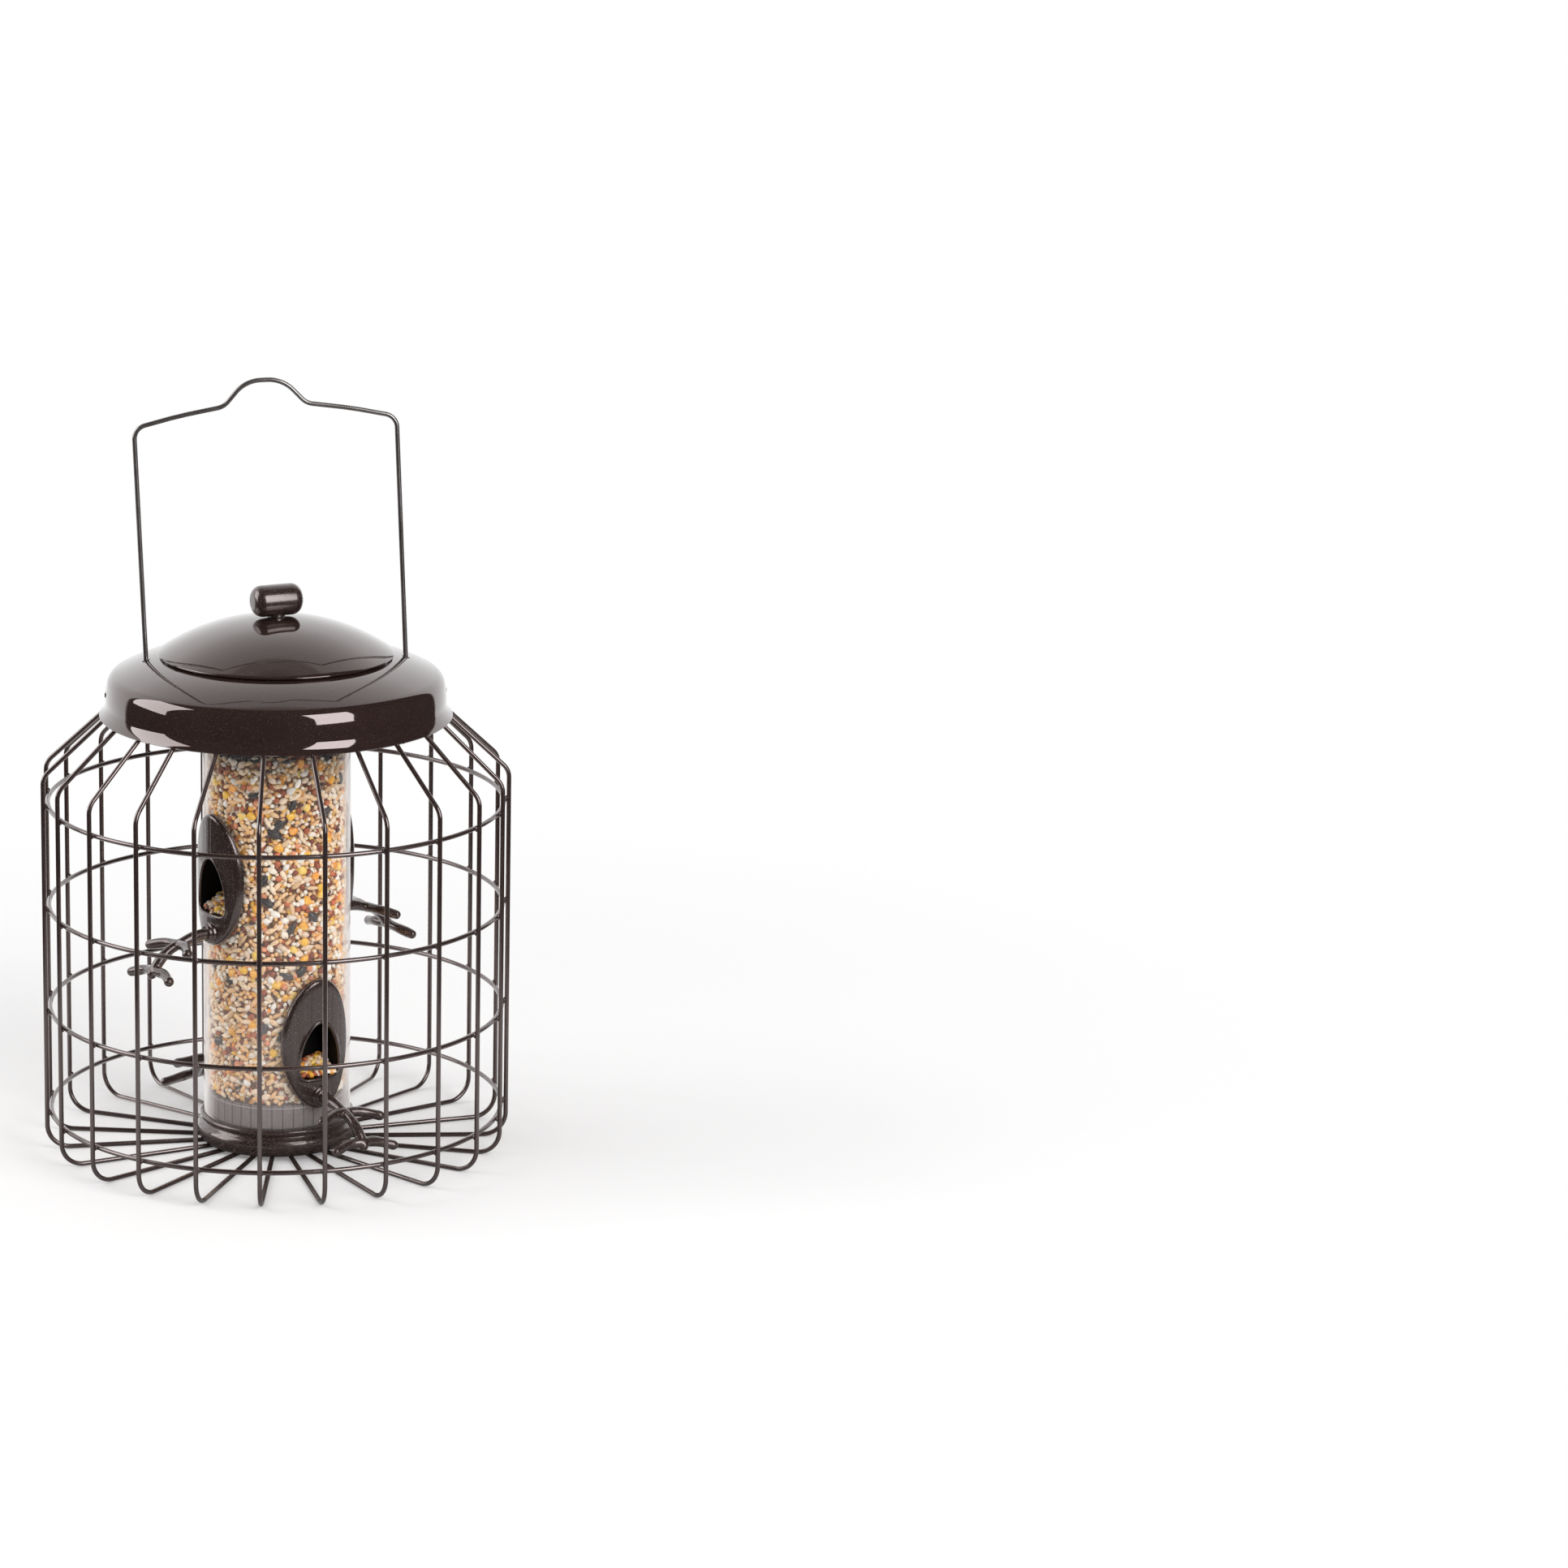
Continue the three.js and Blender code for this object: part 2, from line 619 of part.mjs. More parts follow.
function makePort(port) {
  const foot = port.height - shieldHalfHeight - cutOverrun;
  const top = port.height + shieldHalfHeight + cutOverrun;
  const far = hubFaceRadius + cutOverrun;
  const shell = tubeShell(shieldInnerRadius, shieldOuterRadius, foot, top, shieldFacets);
  let body = shell.intersect(portPrism(shieldShape(), port, 0, far, shieldFacets / 8));
  body = body.add(portPrism(mouthShape(hoodWall), port, hoodBackRadius, hoodFrontRadius));
  body = body.subtract(portPrism(mouthShape(0), port, hoodBackRadius + hoodWall, far));
  const inletHeight = hoodOpenTop - mouthFoot + cutOverrun;
  const inlet = new THREE.BoxGeometry(2 * (mouthHalfWidth + hoodWall + seatGap), inletHeight, hoodDepth);
  inlet.applyMatrix4(bearingFrame(
    port.bearing, tubeBore - hoodDepth / 2, port.height + hoodOpenTop - inletHeight / 2,
  ));
  body = body.subtract(solid(inlet));
  const hubAt = port.height + hubMiddle;
  const hub = radialBar(port.bearing, hubAt, hubDiameter / 2, shieldMiddleRadius, hubFaceRadius);
  const socketRadius = pegDiameter / 2 + seatGap;
  const socket = radialBar(port.bearing, hubAt, socketRadius, hubFaceRadius - pegDepth - seatGap, far);
  body = body.add(solid(hub)).subtract(solid(socket));
  addSolid(`port_${port.name}`, body, coat);
}

function makePerch(port) {
  const start = hubFaceRadius + seatGap;
  const frame = bearingFrame(port.bearing, 0, port.height + hubMiddle);
  const spot = (run, spread, drop) => new THREE.Vector3(spread, -drop, start + run).applyMatrix4(frame);
  const stemPath = stemRunShares.map((run, i) => spot(run * perchReach, 0, stemDropShares[i] * perchDrop));
  let body = solid(twig(stemPath, stemDiameter / 2, twigDiameter / 2));
  const pairs = [[innerTwigRootShares, innerTwigTipShares], [outerTwigRootShares, outerTwigTipShares]];
  for (const [root, tip] of pairs) {
    for (const side of [-1, 1]) {
      const from = spot(root[0] * perchReach, 0, root[1] * perchDrop);
      const to = spot(tip[0] * perchReach, side * twigSpread, tip[1] * perchDrop);
      const [middleRun, middleDrop] = root.map((share, k) => (share + tip[k]) / 2 - twigBowShare);
      const bow = spot(middleRun * perchReach, (side * twigSpread) / 2, middleDrop * perchDrop);
      body = body.add(solid(twig([from, bow, to], twigDiameter / 2, twigDiameter / 2)));
    }
  }
  const peg = radialBar(
    port.bearing, port.height + hubMiddle, pegDiameter / 2, hubFaceRadius - pegDepth, start + pegDepth,
  );
  addSolid(`perch_${port.name}`, body.add(solid(peg)), coat);
}

function makeTube() {
  let tube = tubeShell(tubeBore, tubeRadius, tubeFootHeight, tubeTopHeight);
  for (const port of ports) {
    tube = tube.subtract(portPrism(mouthShape(hoodWall + seatGap), port, 0, shieldOuterRadius));
  }
  addSolid('seed_tube', tube, clear);
}

function makeFunnel() {
  const underRoof = (reach) => roofLipBase + roofSlopeHeightAt(reach)
    - (roofSheet + seatGap) / Math.cos(roofTopSlope);
  const sleeveInside = tubeRadius + seatGap;
  const inside = [
    [funnelFlangeRadius, underRoof(funnelFlangeRadius)],
    [funnelCollarRadius, underRoof(funnelCollarRadius)],
    [funnelCollarRadius, lidBase - spigotDepth - slideGap],
    [sleeveInside, tubeTopHeight + seatGap],
    [sleeveInside, tubeTopHeight - funnelSleeveDepth],
  ];
  add('filler_funnel', revolve(sheet(inside, funnelSheet)), coat);
}

function makeBase() {
  const deckFoot = baseDeckHeight - baseDeckThickness;
  const boreRadius = baseScrewDiameter / 2 + seatGap;
  const discTop = wireDiameter + seatGap + floorDiscThickness + seatGap;
  const skirtInside = baseFootRadius - baseWall;
  const outside = [
    baseFootRadius, baseSkirtRadius, baseSkirtRadius, (baseSkirtRadius + baseCoveRadius) / 2,
    baseCoveRadius, baseCoveRadius, baseBeadRadius, baseBeadRadius, baseBeadRadius - baseWall / 4,
  ].map((radius, i) => [radius, THREE.MathUtils.lerp(baseFootHeight, baseDeckHeight, baseHeightShares[i])]);
  const waistHeight = (baseFootHeight + baseDeckHeight) / 2;
  add('base_casting', revolve([
    [boreRadius, discTop], [baseBossRadius, discTop], [baseBossRadius, deckFoot],
    [baseCoveRadius - baseWall, deckFoot], [skirtInside, waistHeight], [skirtInside, baseFootHeight],
    ...outside, [boreRadius, baseDeckHeight],
  ]), coat);

  // A ribbed cup that fills the foot of the tube
  const plugFoot = baseDeckHeight + seatGap;
  const ribs = new THREE.Shape();
  for (let i = 0; i < 2 * plugRibCount; i += 1) {
    const angle = (halfTurn * i) / plugRibCount;
    const reach = plugRadius - (i % 2 ? plugRibDepth : 0);
    ribs[i ? 'lineTo' : 'moveTo'](reach * Math.cos(angle), reach * Math.sin(angle));
  }
  const rim = new THREE.ExtrudeGeometry(ribs, { depth: plugHeight, bevelEnabled: false });
  rim.translate(0, 0, plugFoot);
  const hollowRadius = plugRadius - plugRibDepth - plugWall;
  const hollowTop = plugTopHeight - plugWall;
  const screwTop = baseDeckHeight + baseScrewPointStand;
  const hollow = solid(revolve([
    [baseBossRadius, plugFoot - cutOverrun], [hollowRadius, plugFoot - cutOverrun],
    [hollowRadius, hollowTop], [baseBossRadius, hollowTop],
  ]));
  const bore = solid(bar(boreRadius, plugFoot - cutOverrun, screwTop + seatGap));
  addSolid('base_plug', solid(rim).subtract(hollow).subtract(bore), coat);

  const headTop = wireDiameter;
  const headFoot = headTop - baseScrewHeadHeight;
  const shank = baseScrewDiameter / 2;
  add('base_screw', revolve([
    [0, headFoot], [baseScrewHeadDiameter / 2, headFoot], [baseScrewHeadDiameter / 2, headTop],
    [shank, headTop], [shank, screwTop], [0, screwTop],
  ], 2 * boreFacets), steel);
}

function makeSeed() {
  const radius = tubeBore - seatGap;
  const foot = plugTopHeight + seatGap;
  const halfwayHeight = seedTopHeight + seedCrown * seedCrownShare;
  let seed = solid(revolve([
    [0, foot], [radius, foot], [radius, seedTopHeight], [radius / 2, halfwayHeight],
    [0, seedTopHeight + seedCrown],
  ]));
  for (const port of ports) {
    seed = seed.subtract(portPrism(
      mouthShape(hoodWall + seatGap), port, hoodBackRadius - seatGap, shieldInnerRadius,
    ));
    // The heap that slopes out through the open foot of the hood to the sill
    const heapBack = hoodBackRadius - seatGap - hoodWall;
    const heapFront = tubeRadius;
    const heapTop = hoodOpenTop - seatGap;
    const heapLip = Math.max(heapTop - (heapFront - heapBack) * Math.tan(seedSlope), mouthFoot + hoodWall);
    const slope = new THREE.Shape();
    slope.moveTo(heapBack, mouthFoot);
    slope.lineTo(heapFront, mouthFoot);
    slope.lineTo(heapFront, heapLip);
    slope.lineTo(heapBack, heapTop);
    const wedge = new THREE.ExtrudeGeometry(slope, { depth: 2 * mouthHalfWidth, bevelEnabled: false });
    wedge.translate(0, 0, -mouthHalfWidth);
    wedge.rotateY(-halfTurn / 2);
    wedge.applyMatrix4(bearingFrame(port.bearing, 0, port.height));
    seed = seed.add(solid(wedge).intersect(portPrism(mouthShape(-seatGap), port, heapBack, heapFront)));
  }
  // The upper half rests on the lower one, midway between the ports
  const halfway = (lowerPortHeight + upperPortHeight) / 2;
  const above = bar(shieldOuterRadius, halfway, tubeTopHeight);
  const below = bar(shieldOuterRadius, tubeFootHeight, halfway + seatGap);
  addSolid('seed_fill_lower', seed.subtract(solid(above)), grain);
  addSolid('seed_fill_upper', seed.subtract(solid(below)), grain);
}

makeCage();
makeRoof();
makeBail();
makeLid();
makeTube();
makeFunnel();
makeBase();
for (const port of ports) {
  makePort(port);
  makePerch(port);
}
makeSeed();

export default feeder;
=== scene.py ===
from math import acos, asin, atan, atan2, ceil, comb, cos, pi, sin, sqrt, tan

import bpy
import numpy as np
from mathutils import Matrix, Vector


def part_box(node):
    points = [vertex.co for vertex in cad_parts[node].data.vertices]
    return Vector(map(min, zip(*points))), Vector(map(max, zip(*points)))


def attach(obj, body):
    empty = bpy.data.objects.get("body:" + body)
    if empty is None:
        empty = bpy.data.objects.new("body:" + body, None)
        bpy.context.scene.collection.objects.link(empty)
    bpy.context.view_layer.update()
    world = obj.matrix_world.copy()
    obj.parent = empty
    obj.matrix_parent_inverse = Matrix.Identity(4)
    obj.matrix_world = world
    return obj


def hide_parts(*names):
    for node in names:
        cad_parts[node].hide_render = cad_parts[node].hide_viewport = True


# A caged seed feeder for small birds: a clear tube of mixed seed with four ports and twig perches,
# inside a cage of bent wires, under a spun roof with a domed lid. Lengths are in metres. A bearing
# is an angle about Z, from the front (-Y) towards the right (+X), as in the frame.

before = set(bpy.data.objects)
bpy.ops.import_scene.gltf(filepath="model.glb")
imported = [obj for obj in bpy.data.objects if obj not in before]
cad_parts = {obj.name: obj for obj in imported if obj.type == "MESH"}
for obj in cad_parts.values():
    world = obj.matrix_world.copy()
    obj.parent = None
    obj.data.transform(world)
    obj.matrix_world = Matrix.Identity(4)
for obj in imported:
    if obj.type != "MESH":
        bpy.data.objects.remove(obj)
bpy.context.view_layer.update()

MM = 0.001
DEGREE = pi / 180
TURN = 2 * pi
WHITE = (1, 1, 1, 1)
UPWARDS = np.array((0.0, 0.0, 1.0))
rng = np.random.default_rng(7)

# The photograph's camera
CAMERA_PLACE = (0.0, -2.4529, 0.8158)
CAMERA_YAW = 0.1053
CAMERA_PITCH = 0.2490  # downwards
CAMERA_ROLL = 0.0244
CAMERA_CLIP = (0.05, 60)
CAMERA_FOCAL_PIXELS = 6104.4
PHOTO_PIXELS = 1932
SENSOR_WIDTH_MM = 36

# Cage
WIRE_RADIUS = 1.2 * MM
CAGE_RADIUS = 118 * MM
WIRE_COUNT = 23
FIRST_WIRE_BEARING = -4.2 * DEGREE
SPOKE_INNER_RADIUS = 13 * MM
FLOOR_BEND = 12 * MM
SHOULDER_CORNER_HEIGHT = 196.5 * MM
SHOULDER_BEND = 9 * MM
SHOULDER_SLOPE = 43 * DEGREE
HOOP_COUNT = 4
WIRE_SIDES = 14
PLAIN_WIRE_SIDES = 6  # of the frame's wires, whose corners stand out from a round one
WELD_LENGTH = 3.4 * MM
WELD_WIDTH = 1.5 * MM

# Bail
BAIL_WIRE_RADIUS = 1.2 * MM
BAIL_HALF_SPAN = 65.4 * MM
BAIL_BEARING = 94 * DEGREE
BAIL_LEAN = 2.4 * DEGREE
BAIL_FOOT_LIFT = 10.8 * MM
BAIL_FOOT_BEND = 4 * MM
BAIL_TIP_STAND = 0.6 * MM
BAIL_CORNER_RISE = 121.9 * MM
BAIL_CORNER_BEND = 7 * MM
BAIL_SHOULDER_BOW = 0.8 * MM
BAIL_SHOULDER_BEND = 120 * MM
BAIL_HUMP_FOOT_RISE = 130.7 * MM
BAIL_HUMP_FOOT_BEND = 9 * MM
BAIL_HUMP_HALF_WIDTH = 20.5 * MM
BAIL_HUMP_TOP_HALF_WIDTH = 0.45 * BAIL_HUMP_HALF_WIDTH
BAIL_HUMP_TOP_RISE = 143.3 * MM
BAIL_HUMP_BEND = 17 * MM

# Roof, lid and knob
ROOF_SHEET = 0.8 * MM
ROOF_LIP_RADIUS = 89.1 * MM
ROOF_LIP_HEIGHT = 6.8 * MM
ROOF_LIP_FLARE = 2.2  # power of its curve
ROOF_WALL_RADIUS = 85.6 * MM
ROOF_WALL_DRAFT = 0.4 * MM
ROOF_WALL_BOW = 40 * MM  # radius of its slight bulge
ROOF_WALL_TURN = 12 * DEGREE  # of that bulge, up to the corner
ROOF_WALL_TOP = 15 * MM
ROOF_CORNER_RADIUS = 7.5 * MM
ROOF_TOP_SLOPE = 20.5 * DEGREE
ROOF_EDGE_SLOPE = 27 * DEGREE  # steeper, where it meets the corner
ROOF_OPENING_RADIUS = 55.6 * MM
ROOF_NECK_DEPTH = 2.6 * MM
ROOF_NECK_BEND = 1.2 * MM
LEG_HOLE_RADIUS = 2 * MM
LID_SHEET = 1 * MM
LID_RADIUS = 59.4 * MM
LID_EDGE_HEIGHT = 1.1 * MM
LID_SWELL = 0.9 * MM  # the dome's height above the plain cap
LID_INSIDE_STOP = 0.5 * DEGREE  # short of the rim
KNOB_RADIUS = 8 * MM
KNOB_LENGTH = 26 * MM
KNOB_BEARING = 113 * DEGREE
KNOB_END_BEND = 5.2 * MM  # the ends are flatter than a ball
KNOB_STEM_RADIUS = 4.5 * MM
KNOB_STEM_GAP = 0.25 * MM
SCREW_HOLE_RADIUS = 2.3 * MM

# Tube, base and plug
TUBE_RADIUS = 37.5 * MM
TUBE_WALL = 2 * MM
TUBE_EDGE_BEND = 0.3 * MM
HAZE_AND_GLARE_INSIDE = 0.15  # of the haze and painted edge reflection on the tube's outside
HAZE_AND_GLARE_STEPS = ((0.48, 0.72, 0.6), (0.72, 0.92, 0.3))  # from and to how edge on, and the haze and painted edge reflection added
DUST_HEIGHTS = (50 * MM, 140 * MM)
DUST_SHARES = (0.075, 0.02)
BASE_RADII = [r * MM for r in (39.2, 40.6, 40.9, 40.2, 38.7, 38.1, 39.3, 39.5, 38.8)]
BASE_HEIGHT_SHARES = [0, 0.17, 0.4, 0.56, 0.68, 0.75, 0.83, 0.94, 1]
BASE_WALL = 2.2 * MM
BASE_DECK = 2.4 * MM
BASE_BORE_RADIUS = 4 * MM
BASE_SHOULDER = 4  # which of its radii the inside follows, under the deck
PLUG_FACETS = 40
PLUG_FACET_STEPS = 6
PLUG_GROOVE = 0.35 * MM
PLUG_LINE_WIDTH = 0.11  # of a facet, for the painted shade down each groove
PLUG_BEVEL = 0.5 * MM
PLUG_SOLE_RADIUS = 26 * MM  # an inner ring of its flat underside
PLUG_BRIM = 2 * MM  # flat round its top, before the slight dish
PLUG_DISH = 0.2 * MM
PLUG_DISH_SHARE = 0.9  # how far in it is deepest
PLUG_HIGHLIGHT_LINE = 0.6 * MM  # width of a painted highlight line round it
PLUG_HIGHLIGHT_DROP = 1.5 * MM

# Ports, in each port's own frame: across, up from the port's middle, and out from the axis
PORTS = {
    "upper_front": -56.5 * DEGREE,
    "upper_back": 128.5 * DEGREE,
    "lower_front": 33.5 * DEGREE,
    "lower_back": 213.5 * DEGREE,
}
SEAT_GAP = 0.3 * MM
SHIELD_HALF_WIDTH = 19.4 * MM
SHIELD_HALF_HEIGHT = 34.3 * MM
SHIELD_THICKNESS = 2.8 * MM
SHIELD_EDGE = 1.9 * MM
SHIELD_LINES = 88  # fine upright facets, if they went right round the tube
SHIELD_POINTS = 144
MOUTH_HALF_WIDTH = 11.6 * MM
MOUTH_HEIGHT = 28.4 * MM
MOUTH_SILL = 16.8 * MM
MOUTH_CORNER = 5 * MM
MOUTH_BEAD = 1 * MM
MOUTH_BEAD_RISE = 0.6 * MM
HOOD_WALL = 1.4 * MM
HOOD_DEPTH = 17 * MM
HUB_HEIGHT = 6.6 * MM
HUB_RADIUS = 5.4 * MM
HUB_FLARE = 0.3 * MM
HUB_STAND = 2.2 * MM
HUB_STEP = 1.1 * MM
HUB_ROOT = 1 * MM  # how deep it sits in the shield
HUB_BORE_RADIUS = 0.8 * MM
HUB_DISH_RADIUS = 2.7 * MM
HUB_DISH = 1 * MM
HUB_BENDS = [b * MM for b in (0.1, 0.1, 0.7, 0.3, 0.6, 0.4, 0.1)]

# Perches, each set a little differently: its reach, its tilt downwards and its roll
PERCH_SETS = {
    "upper_front": (32 * MM, 0, 5 * DEGREE),
    "upper_back": (31.2 * MM, 0, 0),
    "lower_front": (35.6 * MM, 0, -5 * DEGREE),
    "lower_back": (36 * MM, 5.5 * DEGREE, 0),
}
PERCH_DROP = 16 * MM
PERCH_ROOT = 1.2 * MM  # how deep its stem sits in the hub
TWIG_SPREAD = 17.4 * MM
STEM_RADIUS = 2.95 * MM  # before the joints are blended, which draws it in
TWIG_RADIUS = 2.6 * MM
STEM_RUN_SHARES = [0, 0.2, 0.4, 0.66, 0.84, 1]
STEM_DROP_SHARES = [0, 0.03, 0.13, 0.31, 0.58, 1]
TWIG_SHARES = [((0.51, 0.2), (0.69, 0.29)), ((0.97, 0.91), (1.03, 1.07))]
TWIG_BOW_SHARE = 0.05
TWIG_SWELL = 0.06  # of its radius, in a wave along it
TWIG_SWELL_TURN = 9  # radians of that wave from end to end
TWIG_END_ANGLES = (0.5, 0.9, 1.25)
BLEND_VOXEL = 0.45 * MM
BLEND_ROUNDS = 4

# Coat
COAT_TOP_IOR = 1.5
COAT_BASE_IOR = 1.85
COAT_TINT = (1, 0.8, 0.78, 1)
WIRE_IOR = 2.2
BAIL_IOR = 3.4
BAIL_TINT = (1, 0.97, 0.95, 1)
FLAKE_SCALE = 3200.0  # flakes in a metre
FINE_FLAKE_SCALE = 5600.0
FLAKE_BRIGHTNESS = 0.24
FLAKE_DEPTH = 0.05 * MM
FINE_FLAKE = 0.08  # share of flakes above which they also catch the light
PEEL_SCALE = 260.0  # of the orange peel
PEEL_STRENGTH = 0.03
PEEL_DEPTH = 0.3 * MM
# Upright facet grooves on the shields: bumped, and darkened with painted shade
SHIELD_LINE_WIDTH = 0.09  # of their spacing
SHIELD_LINE_STRENGTH = 0.35
SHIELD_LINE_DEPTH = 0.1 * MM
SHIELD_LINE_DARKNESS = 0.8

# The kinds of seed, roughly from big to small: length, width and thickness in mm, how many places
# are tried, how far the ends draw in, the tint and share of the spots, and the skin's roughness and tints
SEED_KINDS = {
    "sunflower": dict(
        size=(9.2, 4.6, 3.2), count=55, taper=0.55, spots=(20, 19, 21), spot_share=0.3,
        roughness=0.35, tints=[(48, 45, 48), (34, 32, 34), (64, 60, 62)]),
    "maize": dict(
        size=(4.9, 4.3, 3.0), count=190, taper=0.2, spots=(255, 232, 170), spot_share=0.6,
        roughness=0.3, tints=[(255, 198, 62), (252, 178, 46), (255, 214, 104), (248, 160, 52)]),
    "heart": dict(
        size=(5.2, 3.4, 2.6), count=520, taper=0.4, spots=(236, 206, 170), spot_share=0.4,
        roughness=0.4, tints=[(255, 250, 242), (255, 243, 226), (252, 226, 200)]),
    "oat": dict(
        size=(7.0, 2.6, 2.3), count=1100, taper=0.5, spots=(206, 158, 108), spot_share=0.5,
        roughness=0.4, tints=[(252, 218, 176), (242, 202, 154), (255, 232, 202), (226, 182, 134)]),
    "milo": dict(
        size=(3.3, 3.1, 2.8), count=1500, taper=0.0, spots=(128, 66, 46), spot_share=0.5,
        roughness=0.3, tints=[(190, 104, 66), (164, 84, 52), (220, 146, 106), (138, 72, 50)]),
    "rape": dict(
        size=(2.3, 2.2, 2.1), count=420, taper=0.0, spots=(44, 33, 30), spot_share=0.5,
        roughness=0.3, tints=[(132, 66, 44), (92, 56, 46), (160, 92, 62)]),
    "millet": dict(
        size=(2.5, 2.2, 2.0), count=9000, taper=0.0, spots=(232, 190, 136), spot_share=0.35,
        roughness=0.35,
        tints=[(255, 242, 220), (255, 230, 198), (250, 206, 150), (255, 248, 234), (240, 186, 122)]),
}
SEED_SHADES = (0.86, 1.42)
SEED_SIZES = (0.84, 1.14)
SEED_UNEVENNESS = 0.06
SEED_END_POWER = 2.5  # how late the ends start to draw in
SEED_TIP = 0.25  # of the taper, more at one end
MAIZE_ROUNDNESS = 0.75
MAIZE_WEDGE = 0.3
SPOT_EDGES = (0.52, 0.62)  # of the noise that makes them
STRIPE_TURN = 9.0
SEED_PACKING = 0.76  # how near two grains against the wall may lie
GRID_CELL = 5 * MM  # of the grid that finds a grain's neighbours
WALL_TOP_GAP = 2.5 * MM  # to the fill's top
WALL_GAPS = (0.05 * MM, 0.45 * MM)  # to the tube's wall
WALL_LIE = 0.75  # spread, in radians, of how steeply a grain lies
WALL_POKE = 0.12  # spread of how much it points outwards
WALL_TILT = 0.25
FINE_FOOT = 62 * MM  # in which few of the coarser kinds lie
COARSE_KINDS = ("heart", "maize", "milo")
COARSE_LEFT_OUT = 0.55
# Painted shade from the roof: the wall's seed darker towards the fill's top, and the top's grains darker
# still
DARK_TOP = 24 * MM  # of seed under painted shade, darker towards the top
TOP_DARKENING = 0.66
TOP_SHADE = 0.5
TOP_KINDS = ["oat", "milo", "rape", "rape", "sunflower", "milo", "oat", "heart", "sunflower"]
TOP_GRAINS = 620
TOP_EDGE_GAP = 2 * MM
TOP_DEPTH = 3.2 * MM
TOP_RISE = 1.6 * MM
TOP_LIE = 0.2  # spread of how steeply a grain lies
TOP_TILT = 0.3
DEEP_KINDS = ["oat", "milo", "millet", "millet", "heart", "maize", "rape", "oat"]
DEEP_LAYER = 1.6 * MM
DEEP_PITCH = 2.6 * MM
DEEP_SHADE = 0.8  # painted shade of the seed that shows in gaps
DEEP_JITTER = 0.3  # of the pitch
DEEP_TOP_GAP = 3 * MM
DEEP_HOOD_GAP = 1 * MM
DEEP_TILT = 0.4
HEAP_KINDS = ["oat", "heart", "milo", "millet", "millet", "maize", "rape", "millet", "milo"]
# Painted shade of the seed heaps inside the hoods, darker in the upper ports
HEAP_SHADES = {"upper": 0.5, "lower": 0.85}
HEAP_GRAINS = 260
HEAP_SLOPE = 24 * DEGREE
HEAP_SILL = 1.2 * MM
HEAP_BACK_GAP = 2.4 * MM
HEAP_SIDE_GAP = 1.4 * MM
HEAP_SPILL = 0.4 * MM  # past the tube's outside
HEAP_FOOT = 1 * MM  # where its slope starts, past the tube's outside
HEAP_DEPTH = 2.2 * MM
HEAP_LIE = 0.4
HEAP_TILT = 0.5
CORE_RADIUS = 32.6 * MM
CORE_TOP_GAP = 4 * MM
CORE_CELLS = 380.0  # in a metre

# Light
WORLD_LIGHT = 0.66
LIGHT_AIM = (0, 0, 0.18)
SOFTBOXES = {  # place, width and height, and power
    "softbox_left": ((-1.6, 0.1, 0.95), (1.1, 1.5), 17),
    "softbox_right": ((0.98, -1.22, 0.95), (0.85, 1.4), 19),
}
FLOOR_HALF_WIDTH = 30
FLOOR_GREY = 0.76
FLOOR_GLOW = 0.19
FLOOR_GLOW_TINT = (1, 0.965, 0.96, 1)
FLOOR_FAR = (0.24, 0.7)  # reaches between which the floor turns into plain white
ROOM_AZIMUTH = 6.5 * DEGREE  # middle of the dark room that the front reflects
ROOM_EDGE = -0.566  # cosine of half the room's width
ROOM_EDGE_BLUR = 0.02
ROOM_DARK = 0.02
CEILING_FADES = ((0.52, 0.9, 0.48), (0.905, 0.925, 0.55), (0.96, 1.0, 0.3))  # start, end, what is left
BACKDROP_MIRRORED = 0.95
TABLE_REACH = 0.34  # of the pale table in reflections, in front
TABLE_END = 1.3 * TABLE_REACH
TABLE_MIRRORED = 0.62
TABLE_SHADE = (0.05, 0.2, 0.1, 1.0)  # reaches between which the object's shade ends, and what is left

# Heights that the frame holds
roof_lip_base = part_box("roof")[0].z
lid_base, lid_top = (corner.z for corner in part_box("dome_lid"))
knob_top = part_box("knob")[1].z
tube_foot, tube_top = (corner.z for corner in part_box("seed_tube"))
plug_foot, plug_top = (corner.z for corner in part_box("base_plug"))
base_foot, base_deck = (corner.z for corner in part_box("base_casting"))
seed_foot, seed_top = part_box("seed_fill_lower")[0].z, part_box("seed_fill_upper")[1].z
port_heights = {name: sum(c.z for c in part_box(f"port_{name}")) / 2 for name in PORTS}

tube_bore = TUBE_RADIUS - TUBE_WALL
shield_inner = TUBE_RADIUS + SEAT_GAP
shield_outer = shield_inner + SHIELD_THICKNESS
hub_face = shield_outer + HUB_STAND
hood_back = TUBE_RADIUS - HOOD_DEPTH
mouth_foot = MOUTH_SILL - SHIELD_HALF_HEIGHT
mouth_middle = (mouth_foot * 2 + MOUTH_HEIGHT) / 2
hub_up = HUB_HEIGHT - SHIELD_HALF_HEIGHT
roof_corner_reach = ROOF_WALL_RADIUS - ROOF_WALL_DRAFT - ROOF_CORNER_RADIUS


def roof_slope_height(reach):
    """Height of the roof's sloping top above its lip's edge, at a reach from the axis."""
    slope_reach = roof_corner_reach + ROOF_CORNER_RADIUS * sin(ROOF_TOP_SLOPE)
    slope_foot = ROOF_WALL_TOP + ROOF_CORNER_RADIUS * cos(ROOF_TOP_SLOPE)
    return slope_foot + (slope_reach - reach) * tan(ROOF_TOP_SLOPE)


bail_entry = roof_lip_base + roof_slope_height(BAIL_HALF_SPAN)
bail_foot = roof_lip_base + BAIL_FOOT_LIFT


# Places

def outwards(bearing):
    return Vector((sin(bearing), -cos(bearing), 0))


def across(bearing):
    return Vector((cos(bearing), sin(bearing), 0))


def up(height):
    return Vector((0, 0, height))


